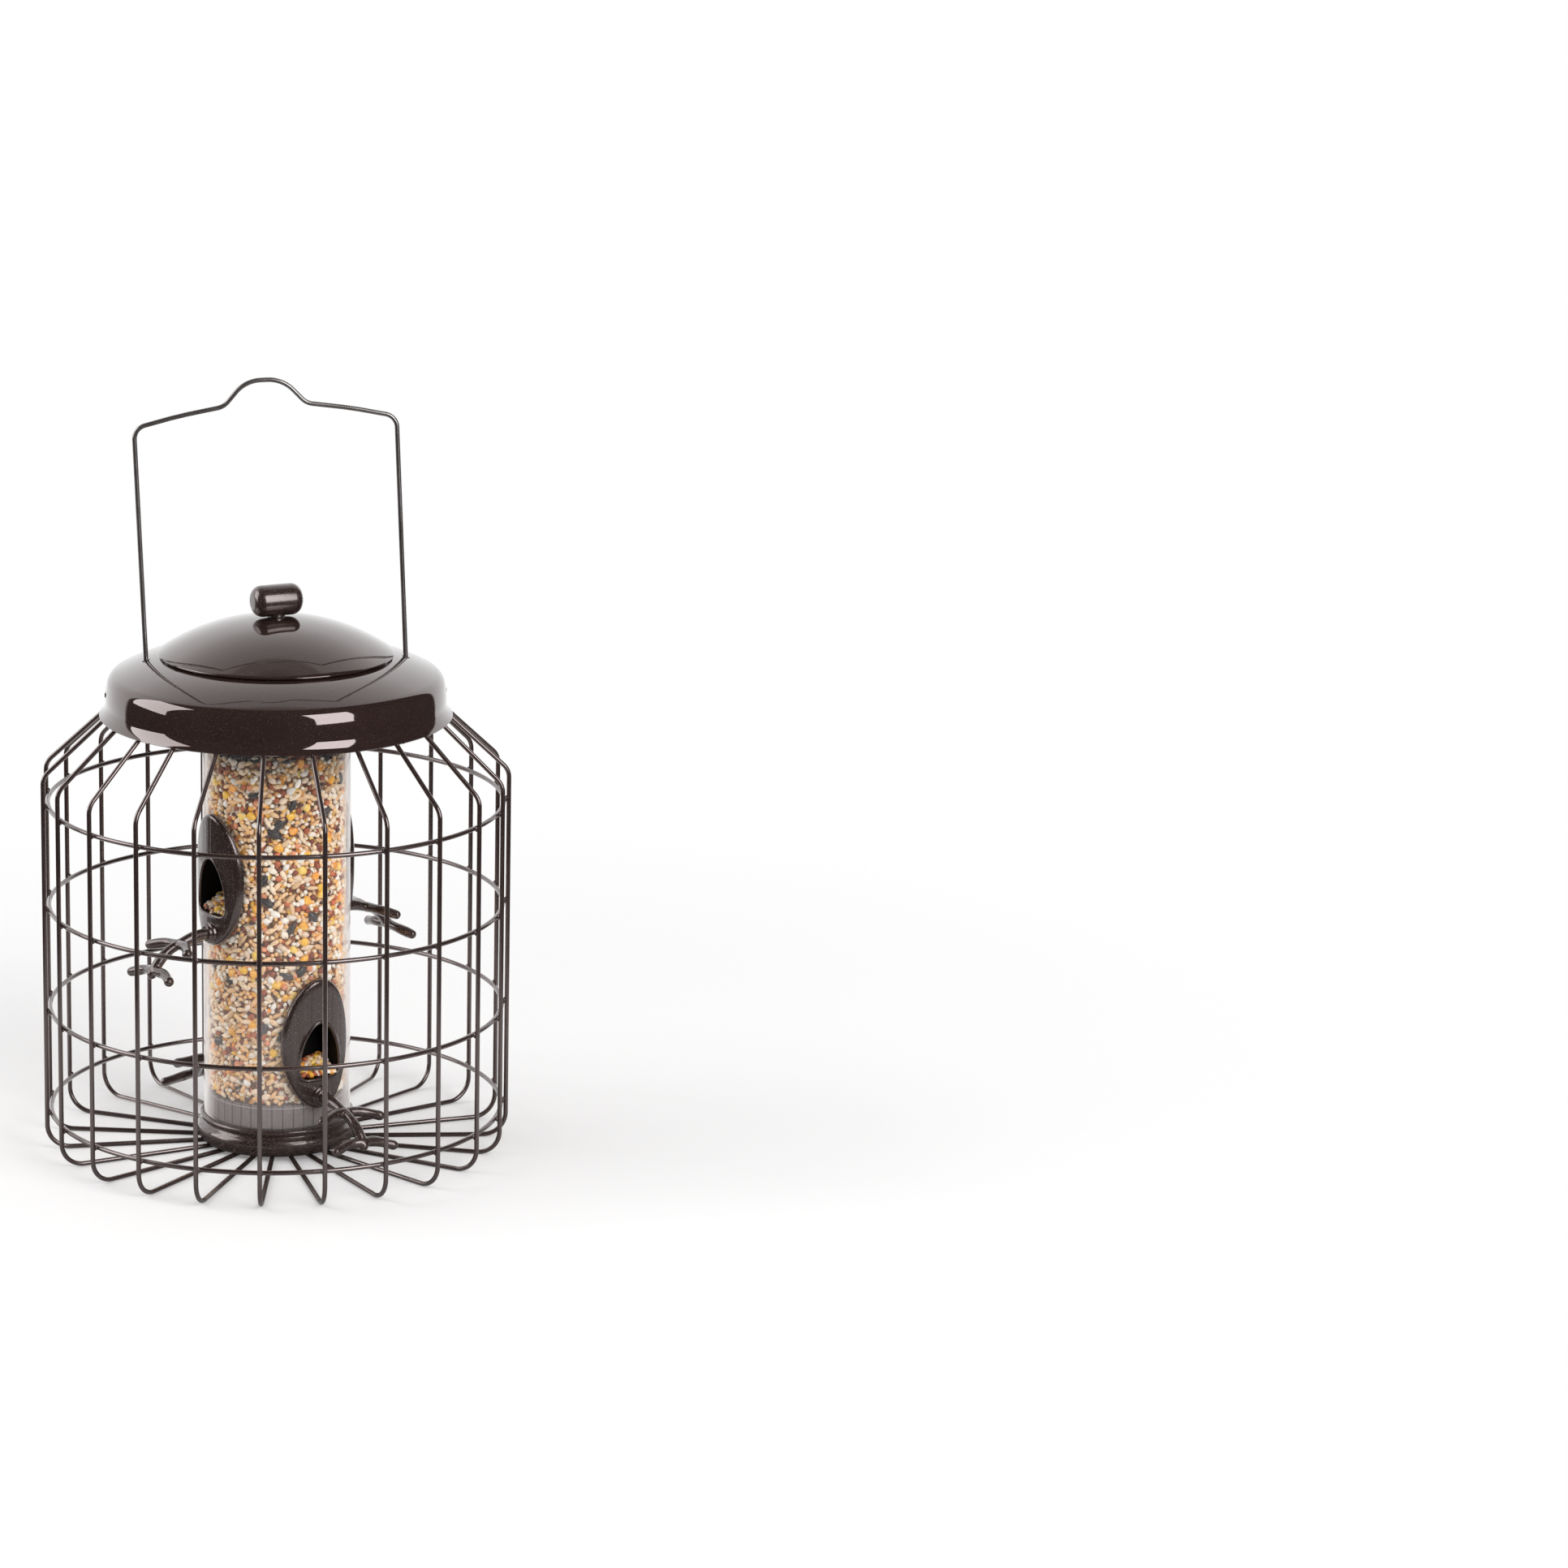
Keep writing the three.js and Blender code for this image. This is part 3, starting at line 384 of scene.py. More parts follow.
def turned(vertices, bearing, height):
    """Vertices with their X laid across a bearing, their Y up from a height and their Z outwards."""
    return [across(bearing) * v[0] + up(height + v[1]) + outwards(bearing) * v[2] for v in vertices]


def port_point(bearing, height, u, v, out):
    return across(bearing) * u + outwards(bearing) * out + up(height + v)


# Meshes

def make_object(name, vertices, faces, material, sharp_angle=40 * DEGREE):
    mesh = bpy.data.meshes.new(name)
    mesh.from_pydata([tuple(v) for v in vertices], [], faces)
    mesh.validate()
    mesh.update()
    mesh.shade_smooth()
    mesh.set_sharp_from_angle(angle=sharp_angle)
    return link_object(name, mesh, material)


def link_object(name, mesh, material):
    obj = bpy.data.objects.new(name, mesh)
    bpy.context.scene.collection.objects.link(obj)
    obj.data.materials.append(material)
    return obj


def place(obj, body, slot, *nodes):
    """Makes a piece ride on its body and stand for its CAD nodes, which it hides. Its slot is not used."""
    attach(obj, body)
    if nodes:
        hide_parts(*nodes)


def angles(count):
    """Even angles all the way round."""
    return np.arange(count) * TURN / count


def arc(centre, radius, start, end, steps):
    return [
        (centre[0] + radius * cos(a), centre[1] + radius * sin(a))
        for a in np.linspace(start, end, steps + 1)
    ]


def bezier(controls, shares):
    last = len(controls) - 1
    return [
        sum(comb(last, k) * s ** k * (1 - s) ** (last - k) * np.array(p) for k, p in enumerate(controls))
        for s in shares
    ]


def smooth_through(knots, count):
    """Catmull-Rom points through knots, as many as the count."""
    points = []
    last = len(knots) - 1
    for t in np.linspace(0, last, count):
        i = min(int(t), last - 1)
        u = t - i
        p0, p1, p2, p3 = (knots[min(max(k, 0), last)] for k in (i - 1, i, i + 1, i + 2))
        points.append(0.5 * (2 * p1 + (p2 - p0) * u + (2 * p0 - 5 * p1 + 4 * p2 - p3) * u ** 2
                             + (3 * p1 - p0 - 3 * p2 + p3) * u ** 3))
    return points


def bent_path(corners, step=6 * DEGREE):
    """Points of straight runs between corners (x, z, bend), each inner corner rounded to its bend."""
    flat = [np.array(corner[:2], float) for corner in corners]
    points = [flat[0]]
    for before, at, after, corner in zip(flat, flat[1:], flat[2:], corners[1:]):
        into = (at - before) / np.linalg.norm(at - before)
        out = (after - at) / np.linalg.norm(after - at)
        turn = atan2(into[0] * out[1] - into[1] * out[0], float(into @ out))
        bend = corner[2]
        start = at - into * bend * tan(abs(turn) / 2)
        centre = start + np.array([-into[1], into[0]]) * np.sign(turn) * bend
        x, y = start - centre
        steps = max(1, ceil(abs(turn) / step))
        for k in range(steps + 1):
            c, s = cos(turn * k / steps), sin(turn * k / steps)
            points.append(centre + np.array([c * x - s * y, s * x + c * y]))
    return [*points, flat[-1]]


def rounded(corners, step=12 * DEGREE):
    """A closed outline of (r, z, bend) corners with each corner rounded."""
    first, last = corners[0], corners[-1]
    start = ((first[0] + last[0]) / 2, (first[1] + last[1]) / 2)
    return [tuple(p) for p in bent_path([start, *corners, start], step)[:-1]]


def sheet_outline(outline, thickness):
    """Closes an open outline into a sheet, with its thickness on the left of the way it runs."""
    points = [np.array(p, float) for p in outline]
    ways = [(b - a) / np.linalg.norm(b - a) for a, b in zip(points, points[1:])]
    normals = [np.array([-way[1], way[0]]) for way in ways]
    inner = []
    for p, before, after in zip(points, normals[:1] + normals, normals + normals[-1:]):
        total = before + after
        inner.append(p + total * (2 * thickness / float(total @ total)))
    return [tuple(p) for p in points + inner[::-1]]


def skin(rings):
    """Quads between rings of as many points each, with a face over each end."""
    sides = len(rings[0])
    vertices = [p for ring in rings for p in ring]
    faces = []
    for a in range(0, len(vertices) - sides, sides):
        b = a + sides
        for k in range(sides):
            n = (k + 1) % sides
            faces.append((a + k, a + n, b + n, b + k))
    faces.append(tuple(range(sides))[::-1])
    faces.append(tuple(range(len(vertices) - sides, len(vertices))))
    return vertices, faces


def lathe(outline, segments=192, closed=True):
    """Turns an outline of (radius, height) about Z. An open outline starts and ends on the axis."""
    vertices, faces, rows = [], [], []
    for r, z in outline:
        if r < 1e-9:
            rows.append([len(vertices)] * segments)
            vertices.append((0, 0, z))
        else:
            rows.append(range(len(vertices), len(vertices) + segments))
            vertices += [(r * sin(a), -r * cos(a), z) for a in angles(segments)]
    for a, b in zip(rows, rows[1:] + rows[:1] if closed else rows[1:]):
        for k in range(segments):
            n = (k + 1) % segments
            face = tuple(dict.fromkeys((a[k], a[n], b[n], b[k])))
            if len(face) > 2:
                faces.append(face)
    return vertices, faces


def sweep(points, radii, sides=16):
    """A round bar along points in space, with a radius at each, its ends a little rounded."""
    points = [Vector(p) for p in points]
    radii = [float(r) for r in np.broadcast_to(radii, len(points))]
    last = len(points) - 1
    tangents = [(points[min(i + 1, last)] - points[max(i - 1, 0)]).normalized() for i in range(last + 1)]
    side = tangents[0].orthogonal().normalized()
    rings = []

    def ring(i, share=1, out=0):
        """A ring round a point, smaller by a share where it stands out past an end."""
        centre = points[i] + tangents[i] * radii[i] * (1 - share) * out
        cross = tangents[i].cross(side).normalized()
        radius = radii[i] * share
        rings.append([centre + radius * (cos(a) * side + sin(a) * cross) for a in angles(sides)])

    ring(0, 0.55, -0.3)
    ring(0, 0.85, -0.3)
    for i, tangent in enumerate(tangents):
        if i:
            side = (side - tangent * side.dot(tangent)).normalized()
        ring(i)
    ring(last, 0.85, 0.3)
    ring(last, 0.55, 0.3)
    return skin(rings)


def ball(level):
    """Points and faces of a unit icosphere."""
    golden = (1 + 5 ** 0.5) / 2
    points = [Vector(p).normalized() for p in (
        (-1, golden, 0), (1, golden, 0), (-1, -golden, 0), (1, -golden, 0),
        (0, -1, golden), (0, 1, golden), (0, -1, -golden), (0, 1, -golden),
        (golden, 0, -1), (golden, 0, 1), (-golden, 0, -1), (-golden, 0, 1))]
    faces = [
        (0, 11, 5), (0, 5, 1), (0, 1, 7), (0, 7, 10), (0, 10, 11), (1, 5, 9), (5, 11, 4), (11, 10, 2),
        (10, 7, 6), (7, 1, 8), (3, 9, 4), (3, 4, 2), (3, 2, 6), (3, 6, 8), (3, 8, 9), (4, 9, 5),
        (2, 4, 11), (6, 2, 10), (8, 6, 7), (9, 8, 1)]
    for _ in range(level - 1):
        middles, split = {}, []

        def middle(a, b):
            key = (min(a, b), max(a, b))
            if key not in middles:
                middles[key] = len(points)
                points.append((points[a] + points[b]).normalized())
            return middles[key]

        for a, b, c in faces:
            ab, bc, ca = middle(a, b), middle(b, c), middle(c, a)
            split += [(a, ab, ca), (b, bc, ab), (c, ca, bc), (ab, bc, ca)]
        faces = split
    return points, faces


def cut(obj, name, rings):
    """Cuts the solid that lies in a skin over rings out of an object."""
    cutter = make_object(name, *skin(rings), coat)
    modifier = obj.modifiers.new("cut", "BOOLEAN")
    modifier.operation = "DIFFERENCE"
    modifier.solver = "EXACT"
    modifier.object = cutter
    bpy.context.view_layer.objects.active = obj
    obj.select_set(True)
    bpy.ops.object.modifier_apply(modifier="cut")
    bpy.data.objects.remove(cutter)


def cut_hole(obj, start, end, radius, sides=32):
    """Cuts a round hole between two points."""
    side = (end - start).orthogonal().normalized()
    cross = (end - start).normalized().cross(side)
    cut(obj, "hole_cutter", [
        [centre + radius * (cos(a) * side + sin(a) * cross) for a in angles(sides)]
        for centre in (start, end)
    ])


def cut_mouths(obj, extra, count):
    """Cuts the way in through each port's mouth, grown by an extra, as deep as its hood."""
    for name, bearing in PORTS.items():
        hole = mouth_outline(extra, count)
        cut(obj, "mouth_cutter", [
            [port_point(bearing, port_heights[name], u, v, out) for u, v in hole]
            for out in (hood_back, shield_outer)
        ])


# Finishes

def srgb(red, green, blue):
    """Linear colour of an 8-bit one."""
    def linear(c):
        c /= 255
        return c / 12.92 if c <= 0.04045 else ((c + 0.055) / 1.055) ** 2.4
    return (linear(red), linear(green), linear(blue), 1)


class Nodes:
    """A node tree with short calls that add to it. A value is a number or another node's output."""

    def __init__(self, tree):
        self.tree = tree

    def node(self, kind, inputs=None, **settings):
        made = self.tree.nodes.new(kind)
        for key, value in settings.items():
            setattr(made, key, value)
        for key, value in (inputs or {}).items():
            if isinstance(value, bpy.types.NodeSocket):
                self.tree.links.new(value, made.inputs[key])
            else:
                made.inputs[key].default_value = value
        return made

    def maths(self, operation, a, b=0.0):
        return self.node("ShaderNodeMath", {0: a, 1: b}, operation=operation).outputs[0]

    def plus(self, a, b):
        return self.maths("ADD", a, b)

    def times(self, a, b):
        return self.maths("MULTIPLY", a, b)

    def ramp(self, value, low, high, to_low=0.0, to_high=1.0, **settings):
        inputs = {"Value": value, "From Min": low, "From Max": high, "To Min": to_low, "To Max": to_high}
        return self.node("ShaderNodeMapRange", inputs, **settings).outputs["Result"]

    def vector_maths(self, operation, a, b=(0, 0, 0)):
        return self.node("ShaderNodeVectorMath", {0: a, 1: b}, operation=operation).outputs

    def axes(self, vector):
        return self.node("ShaderNodeSeparateXYZ", {"Vector": vector}).outputs

    def seen_rays(self):
        """One for the rays that show white behind the object, and all that a light path knows."""
        rays = self.node("ShaderNodeLightPath").outputs
        return self.maths("MAXIMUM", rays["Is Camera Ray"], rays["Is Transmission Ray"]), rays

    def glow(self, colour, strength):
        return self.node("ShaderNodeEmission", {"Color": colour, "Strength": strength}).outputs[0]

    def blend(self, share, first, second):
        return self.node("ShaderNodeMixShader", {"Fac": share, 1: first, 2: second}).outputs[0]


class Finish(Nodes):
    """A node material with short calls for what its look is made of."""

    def __init__(self, name, **sockets):
        self.material = bpy.data.materials.new(name)
        self.material.use_nodes = True
        super().__init__(self.material.node_tree)
        self.shader = self.tree.nodes["Principled BSDF"]
        for socket, value in sockets.items():
            self.shader.inputs[socket.replace("_", " ")].default_value = value
        self.place = self.node("ShaderNodeTexCoord").outputs["Object"]

    def noise(self, scale, detail=3.0):
        inputs = {"Vector": self.place, "Scale": scale, "Detail": detail, "Roughness": 0.55}
        return self.node("ShaderNodeTexNoise", inputs).outputs["Fac"]

    def cells(self, scale):
        """Random cells: a value of each cell's own, and the distance to its middle."""
        made = self.node("ShaderNodeTexVoronoi", {"Vector": self.place, "Scale": scale}, feature="F1").outputs
        own = self.node("ShaderNodeSeparateColor", {"Color": made["Color"]}).outputs["Red"]
        return own, made["Distance"]

    def mix(self, amount, a, b):
        return self.node("ShaderNodeMix", {0: amount, 6: a, 7: b}, data_type="RGBA").outputs[2]

    def upright_lines(self, count, width):
        """One on as many upright lines round the Z axis, each a share of their spacing wide."""
        axes = self.axes(self.place)
        turn = self.times(self.maths("ARCTAN2", axes["X"], axes["Y"]), count / TURN)
        off = self.maths("ABSOLUTE", self.maths("SUBTRACT", self.maths("FRACT", turn), 0.5))
        return self.ramp(off, 0.0, width, 1.0, 0.0)

    def bump(self, height, strength, distance, normal=None):
        inputs = {"Height": height, "Strength": strength, "Distance": distance}
        if normal is not None:
            inputs["Normal"] = normal
        return self.node("ShaderNodeBump", inputs).outputs["Normal"]

    def finish(self, **links):
        """Links outputs to the shader's sockets and gives the material."""
        for socket, output in links.items():
            self.tree.links.new(output, self.shader.inputs[socket.replace("_", " ")])
        return self.material


def make_coat(name, gloss, sheen, flake, shield=False, ior=COAT_BASE_IOR, tint=COAT_TINT):
    """Dark brown enamel: two glossy layers, a faint orange peel and very fine metallic flakes."""
    made = Finish(
        name, IOR=ior, Specular_Tint=tint, Coat_Weight=1, Coat_Roughness=gloss, Coat_IOR=COAT_TOP_IOR)
    coarse = flake > FINE_FLAKE
    speck = made.cells(FLAKE_SCALE if coarse else FINE_FLAKE_SCALE)[0]
    bright = made.ramp(speck, 1 - flake, 1.0)
    clouds = made.noise(45.0, 4.0)
    colour = made.mix(clouds, srgb(38, 27, 25), srgb(49, 36, 33))
    colour = made.mix(made.times(bright, FLAKE_BRIGHTNESS), colour, srgb(196, 176, 166))
    normal = peel = made.bump(made.noise(PEEL_SCALE, 2.0), PEEL_STRENGTH, PEEL_DEPTH)
    if coarse:
        normal = made.bump(speck, flake * 2, FLAKE_DEPTH, peel)
        peel = made.bump(speck, flake * 0.5, FLAKE_DEPTH, peel)
    if shield:
        line = made.upright_lines(SHIELD_LINES, SHIELD_LINE_WIDTH)
        normal = made.bump(line, SHIELD_LINE_STRENGTH, -SHIELD_LINE_DEPTH, normal)
        peel = made.bump(line, SHIELD_LINE_STRENGTH, -SHIELD_LINE_DEPTH, peel)
        # Painted shade along the facet grooves
        colour = made.mix(made.times(line, SHIELD_LINE_DARKNESS), colour, srgb(12, 9, 8))
    sheen = made.ramp(clouds, 0.3, 0.7, sheen * 0.8, sheen * 1.25)
    return made.finish(Base_Color=colour, Normal=normal, Coat_Normal=peel, Roughness=sheen)


def make_hood_shade(name):
    """The inside of a port's hood: unpolished, and painted almost black as the shade in the hood."""
    made = Finish(name, Roughness=0.7, Specular_IOR_Level=0.15)
    colour = made.mix(made.noise(300.0), srgb(9, 7, 7), srgb(16, 13, 12))
    return made.finish(Base_Color=colour, Normal=made.bump(made.noise(900.0), 0.2, 0.1 * MM))


def make_clear(name):
    """Clear plastic: see-through face on, pale only where its wall is seen edge on, partly the plastic's haze
    and partly a painted reflection at its edges.
    """
    made = Finish(name, Base_Color=srgb(252, 246, 243), Roughness=0.05, IOR=1.5)
    # The wall's own way out from the axis, so that the cuts for the ports don't disturb it
    way = made.vector_maths("MULTIPLY", made.place, (1, 1, 0))["Vector"]
    reach = made.vector_maths("LENGTH", way)["Value"]
    way = made.vector_maths("NORMALIZE", way)["Vector"]
    facing = made.node("ShaderNodeLayerWeight", {"Blend": 0.5, "Normal": way}).outputs["Facing"]
    # Pale where the wall is seen edge on: the plastic's haze and a painted reflection of the edge glare
    haze_and_glare = made.plus(*(made.ramp(facing, low, high, 0.0, added) for low, high, added in HAZE_AND_GLARE_STEPS))
    haze_and_glare = made.times(haze_and_glare, made.ramp(made.noise(120.0), 0.3, 0.7, 0.88, 1.05))
    haze_and_glare = made.times(haze_and_glare, made.ramp(reach, tube_bore, TUBE_RADIUS - 0.5 * TUBE_WALL, HAZE_AND_GLARE_INSIDE, 1.0))
    dust = made.ramp(made.axes(made.place)["Z"], *DUST_HEIGHTS, *DUST_SHARES)
    scratches = made.bump(made.noise(300.0, 2.0), 0.02, 0.1 * MM)
    return made.finish(Alpha=made.plus(haze_and_glare, dust), Normal=scratches)


def make_ribbed(name):
    """Grey plastic with painted shade as dark lines in its grooves and a painted highlight line near its top.
    """
    made = Finish(name, Roughness=0.38)
    colour = made.mix(made.noise(500.0), srgb(102, 90, 91), srgb(129, 116, 117))
    # Painted shade: dark lines down the grooves between the facets
    colour = made.mix(made.upright_lines(PLUG_FACETS, PLUG_LINE_WIDTH), colour, srgb(24, 20, 21))
    height = made.axes(made.place)["Z"]
    # Painted highlight: a lighter line round the plug near its top
    off_rim = made.maths("ABSOLUTE", made.maths("SUBTRACT", height, plug_top - PLUG_HIGHLIGHT_DROP))
    rim = made.ramp(off_rim, PLUG_HIGHLIGHT_LINE * 0.3, PLUG_HIGHLIGHT_LINE * 0.5, 1.0, 0.0)
    colour = made.mix(made.times(rim, 0.5), colour, srgb(206, 196, 194))
    return made.finish(Base_Color=colour, Normal=made.bump(made.noise(2500.0, 1.0), 0.15, 0.05 * MM))


def make_steel(name):
    made = Finish(name, Metallic=1.0)
    clouds = made.noise(200.0, 4.0)
    colour = made.mix(clouds, srgb(150, 150, 148), srgb(188, 187, 183))
    return made.finish(Base_Color=colour, Roughness=made.ramp(clouds, 0.3, 0.7, 0.22, 0.42))


def make_seed(kind):
    """Seed skin: its own tint from the mesh, mottled and, on a sunflower seed, striped."""
    facts = SEED_KINDS[kind]
    made = Finish(f"seed_{kind}", Roughness=facts["roughness"])
    tint = made.node("ShaderNodeVertexColor", layer_name="tint").outputs["Color"]
    mottle = made.ramp(made.noise(900.0), *SPOT_EDGES)
    colour = made.mix(made.times(mottle, facts["spot_share"]), tint, srgb(*facts["spots"]))
    if kind == "sunflower":
        side = made.node("ShaderNodeAttribute", attribute_name="side").outputs["Fac"]
        wave = made.maths("SINE", made.times(side, STRIPE_TURN))
        colour = made.mix(made.ramp(wave, 0.8, 0.97, 0.0, 0.4), colour, srgb(150, 142, 132))
    return made.finish(Base_Color=colour, Normal=made.bump(made.noise(1400.0, 2.0), 0.35, 0.08 * MM))


def make_depths(name):
    """The seed deeper in the tube: plain cells of two browns, dark as painted shade in the gaps."""
    made = Finish(name, Roughness=0.9)
    own, distance = made.cells(CORE_CELLS)
    colour = made.mix(own, srgb(96, 64, 44), srgb(160, 120, 84))
    return made.finish(Base_Color=colour, Normal=made.bump(distance, 0.6, 0.8 * MM))


coat = make_coat("coat_wire", 0.06, 0.24, 0.01, ior=WIRE_IOR)
coat_bail = make_coat("coat_bail", 0.15, 0.34, 0.01, ior=BAIL_IOR, tint=BAIL_TINT)
coat_roof = make_coat("coat_roof", 0.03, 0.05, 0.02)
coat_knob = make_coat("coat_knob", 0.15, 0.3, 0.12)
coat_sparkle = make_coat("coat_sparkle", 0.05, 0.26, 0.17)
coat_shield = make_coat("coat_shield", 0.03, 0.24, 0.1, shield=True)
hood_painted_shade = make_hood_shade("hood_painted_shade")
clear = make_clear("clear_plastic")
plug_grey = make_ribbed("plug_grey")
steel = make_steel("zinc_steel")


# Cage

def wire_path():
    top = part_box("cage_wire_01")[1].z - WIRE_RADIUS * cos(SHOULDER_SLOPE)
    tip = CAGE_RADIUS - (top - SHOULDER_CORNER_HEIGHT) / tan(SHOULDER_SLOPE)
    return bent_path([
        (SPOKE_INNER_RADIUS, WIRE_RADIUS, 0),
        (CAGE_RADIUS, WIRE_RADIUS, FLOOR_BEND),
        (CAGE_RADIUS, SHOULDER_CORNER_HEIGHT, SHOULDER_BEND),
        (tip, top, 0),
    ])


def standing(points, bearing):
    """Points (reach, height) of an upright plane at a bearing, in space."""
    return [outwards(bearing) * p[0] + up(p[1]) for p in points]


def make_ring(name, node, reach, height, wire):
    """A level ring of wire."""
    section = arc((reach, height), wire, 0, TURN, WIRE_SIDES)[:-1]
    place(make_object(name, *lathe(section), coat), "root", "dark_coat", node)


def make_cage():
    path = wire_path()
    bearings = [FIRST_WIRE_BEARING + TURN * i / WIRE_COUNT for i in range(WIRE_COUNT)]
    for i, bearing in enumerate(bearings):
        name = f"wire_{i + 1:02d}"
        wire = make_object(name, *sweep(standing(path, bearing), WIRE_RADIUS, WIRE_SIDES), coat)
        place(wire, "root", "dark_coat", f"cage_{name}")
    hoop_radius = CAGE_RADIUS - 2 * WIRE_RADIUS - SEAT_GAP
    for i in range(HOOP_COUNT):
        node = f"cage_hoop_{i + 1}"
        height = sum(c.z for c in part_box(node)) / 2
        make_ring(f"hoop_{i + 1}", node, hoop_radius, height, WIRE_RADIUS)
        make_welds(f"hoop_welds_{i + 1}", bearings, hoop_radius, height)
    low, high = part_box("cage_top_ring")
    wire = (high.z - low.z) / 2 * cos(pi / PLAIN_WIRE_SIDES)
    make_ring("top_ring", "cage_top_ring", (high.x - low.x) / 2 - wire, (low.z + high.z) / 2, wire)


def make_welds(name, bearings, hoop_radius, height):
    """Small smooth fillets where the wires are welded to a hoop."""
    points, faces = ball(2)
    middle = hoop_radius + WIRE_RADIUS + SEAT_GAP / 2
    vertices, all_faces = [], []
    for bearing in bearings:
        start = len(vertices)
        vertices += turned([
            (x * WELD_LENGTH / 2, z * WELD_LENGTH / 2, middle + y * WELD_WIDTH / 2) for x, y, z in points
        ], bearing, height)
        all_faces += [tuple(start + k for k in f) for f in faces]
    place(make_object(name, vertices, all_faces, coat), "root", "dark_coat")


# Roof, bail, lid and knob

def make_roof():
    corner = arc(
        (roof_corner_reach, ROOF_WALL_TOP), ROOF_CORNER_RADIUS, ROOF_WALL_TURN, pi / 2 - ROOF_EDGE_SLOPE, 14)
    bow_reach = corner[0][0] - ROOF_WALL_BOW * cos(ROOF_WALL_TURN)
    bow_foot = corner[0][1] - ROOF_WALL_BOW * sin(ROOF_WALL_TURN)
    wall = arc((bow_reach, bow_foot), ROOF_WALL_BOW, 0, ROOF_WALL_TURN, 10)[:-1]
    wall_reach = wall[0][0]
    lip = [
        (wall_reach + (ROOF_LIP_RADIUS - wall_reach) * (1 - share) ** ROOF_LIP_FLARE, ROOF_LIP_HEIGHT * share)
        for share in np.linspace(0, 1, 9)
    ]
    edge_reach, edge_height = corner[-1]
    neck_start = ROOF_OPENING_RADIUS + ROOF_NECK_BEND * (1 + sin(ROOF_TOP_SLOPE))
    run = edge_reach - neck_start
    rise = (roof_slope_height(neck_start) - edge_height) / run
    bow = (tan(ROOF_EDGE_SLOPE) - rise) / run
    slope = [
        (r, edge_height + (edge_reach - r) * (rise + bow * (r - neck_start)))
        for r in np.linspace(edge_reach, neck_start, 18)[1:-1]
    ]
    neck_middle = roof_slope_height(neck_start) - ROOF_NECK_BEND * cos(ROOF_TOP_SLOPE)
    neck = arc(
        (ROOF_OPENING_RADIUS + ROOF_NECK_BEND, neck_middle), ROOF_NECK_BEND, pi / 2 - ROOF_TOP_SLOPE, pi, 6)
    neck_foot = roof_slope_height(ROOF_OPENING_RADIUS) - ROOF_NECK_DEPTH
    outline = lip + wall + corner + slope + neck + [(ROOF_OPENING_RADIUS, neck_foot)]
    outline = [(r, z + roof_lip_base) for r, z in outline]
    roof = make_object("spun_roof", *lathe(sheet_outline(outline, ROOF_SHEET), 256), coat_roof)
    overrun = up(ROOF_CORNER_RADIUS)
    for bearing in (BAIL_BEARING, BAIL_BEARING + pi):
        way, foot = outwards(bearing), up(bail_foot)
        top = way * BAIL_HALF_SPAN + up(bail_entry)
        cut_hole(roof, top - overrun, top + overrun, LEG_HOLE_RADIUS)
        start, end = (foot + way * (ROOF_WALL_RADIUS + side * ROOF_CORNER_RADIUS) for side in (-1, 1))
        cut_hole(roof, start, end, LEG_HOLE_RADIUS)
    place(roof, "root", "dark_coat", "roof")


def make_bail():
    c, s = cos(BAIL_LEAN), sin(BAIL_LEAN)

    def lean(x, rise, bend):
        return (x * c - rise * s, bail_entry + rise * c + x * s, bend)

    def corners(side):
        foot_x, corner_x = side * BAIL_HUMP_HALF_WIDTH, side * BAIL_HALF_SPAN
        bow_rise = (BAIL_HUMP_FOOT_RISE + BAIL_CORNER_RISE) / 2 + BAIL_SHOULDER_BOW
        return [
            (side * (ROOF_WALL_RADIUS + BAIL_TIP_STAND), bail_foot, 0),
            (corner_x, bail_foot, BAIL_FOOT_BEND),
            (corner_x, bail_entry, BAIL_FOOT_BEND),
            lean(corner_x, BAIL_CORNER_RISE, BAIL_CORNER_BEND),
            lean((foot_x + corner_x) / 2, bow_rise, BAIL_SHOULDER_BEND),
            lean(foot_x, BAIL_HUMP_FOOT_RISE, BAIL_HUMP_FOOT_BEND),
            lean(side * BAIL_HUMP_TOP_HALF_WIDTH, BAIL_HUMP_TOP_RISE, BAIL_HUMP_BEND),
        ]

    path = standing(bent_path(corners(-1) + corners(1)[::-1], 4 * DEGREE), BAIL_BEARING)
    bail = make_object("bail_wire", *sweep(path, BAIL_WIRE_RADIUS), coat_bail)
    place(bail, "root", "dark_coat", "bail")


def make_lid():
    """A domed cap whose rim is rolled into a thin round edge."""
    edge = LID_EDGE_HEIGHT / 2
    dome_top = lid_top + LID_SWELL
    rim_slope = 2 * atan((dome_top - lid_base - edge) / LID_RADIUS)
    outside = arc((LID_RADIUS - edge, lid_base + edge), edge, -pi / 2, pi / 2 - rim_slope, 8)
    rim_reach, rim_height = outside[-1]
    cap_height = dome_top - rim_height
    cap_radius = (rim_reach ** 2 + cap_height ** 2) / (2 * cap_height)
    centre = (0, dome_top - cap_radius)
    rim_angle, hole_angle = acos(rim_reach / cap_radius), acos(SCREW_HOLE_RADIUS / cap_radius)
    outside += arc(centre, cap_radius, rim_angle, hole_angle, 32)[1:]
    inside = arc(centre, cap_radius - LID_SHEET, hole_angle, rim_angle + LID_INSIDE_STOP, 20)
    place(make_object("domed_lid", *lathe(outside + inside, 256), coat_roof), "lid", "dark_coat", "dome_lid")


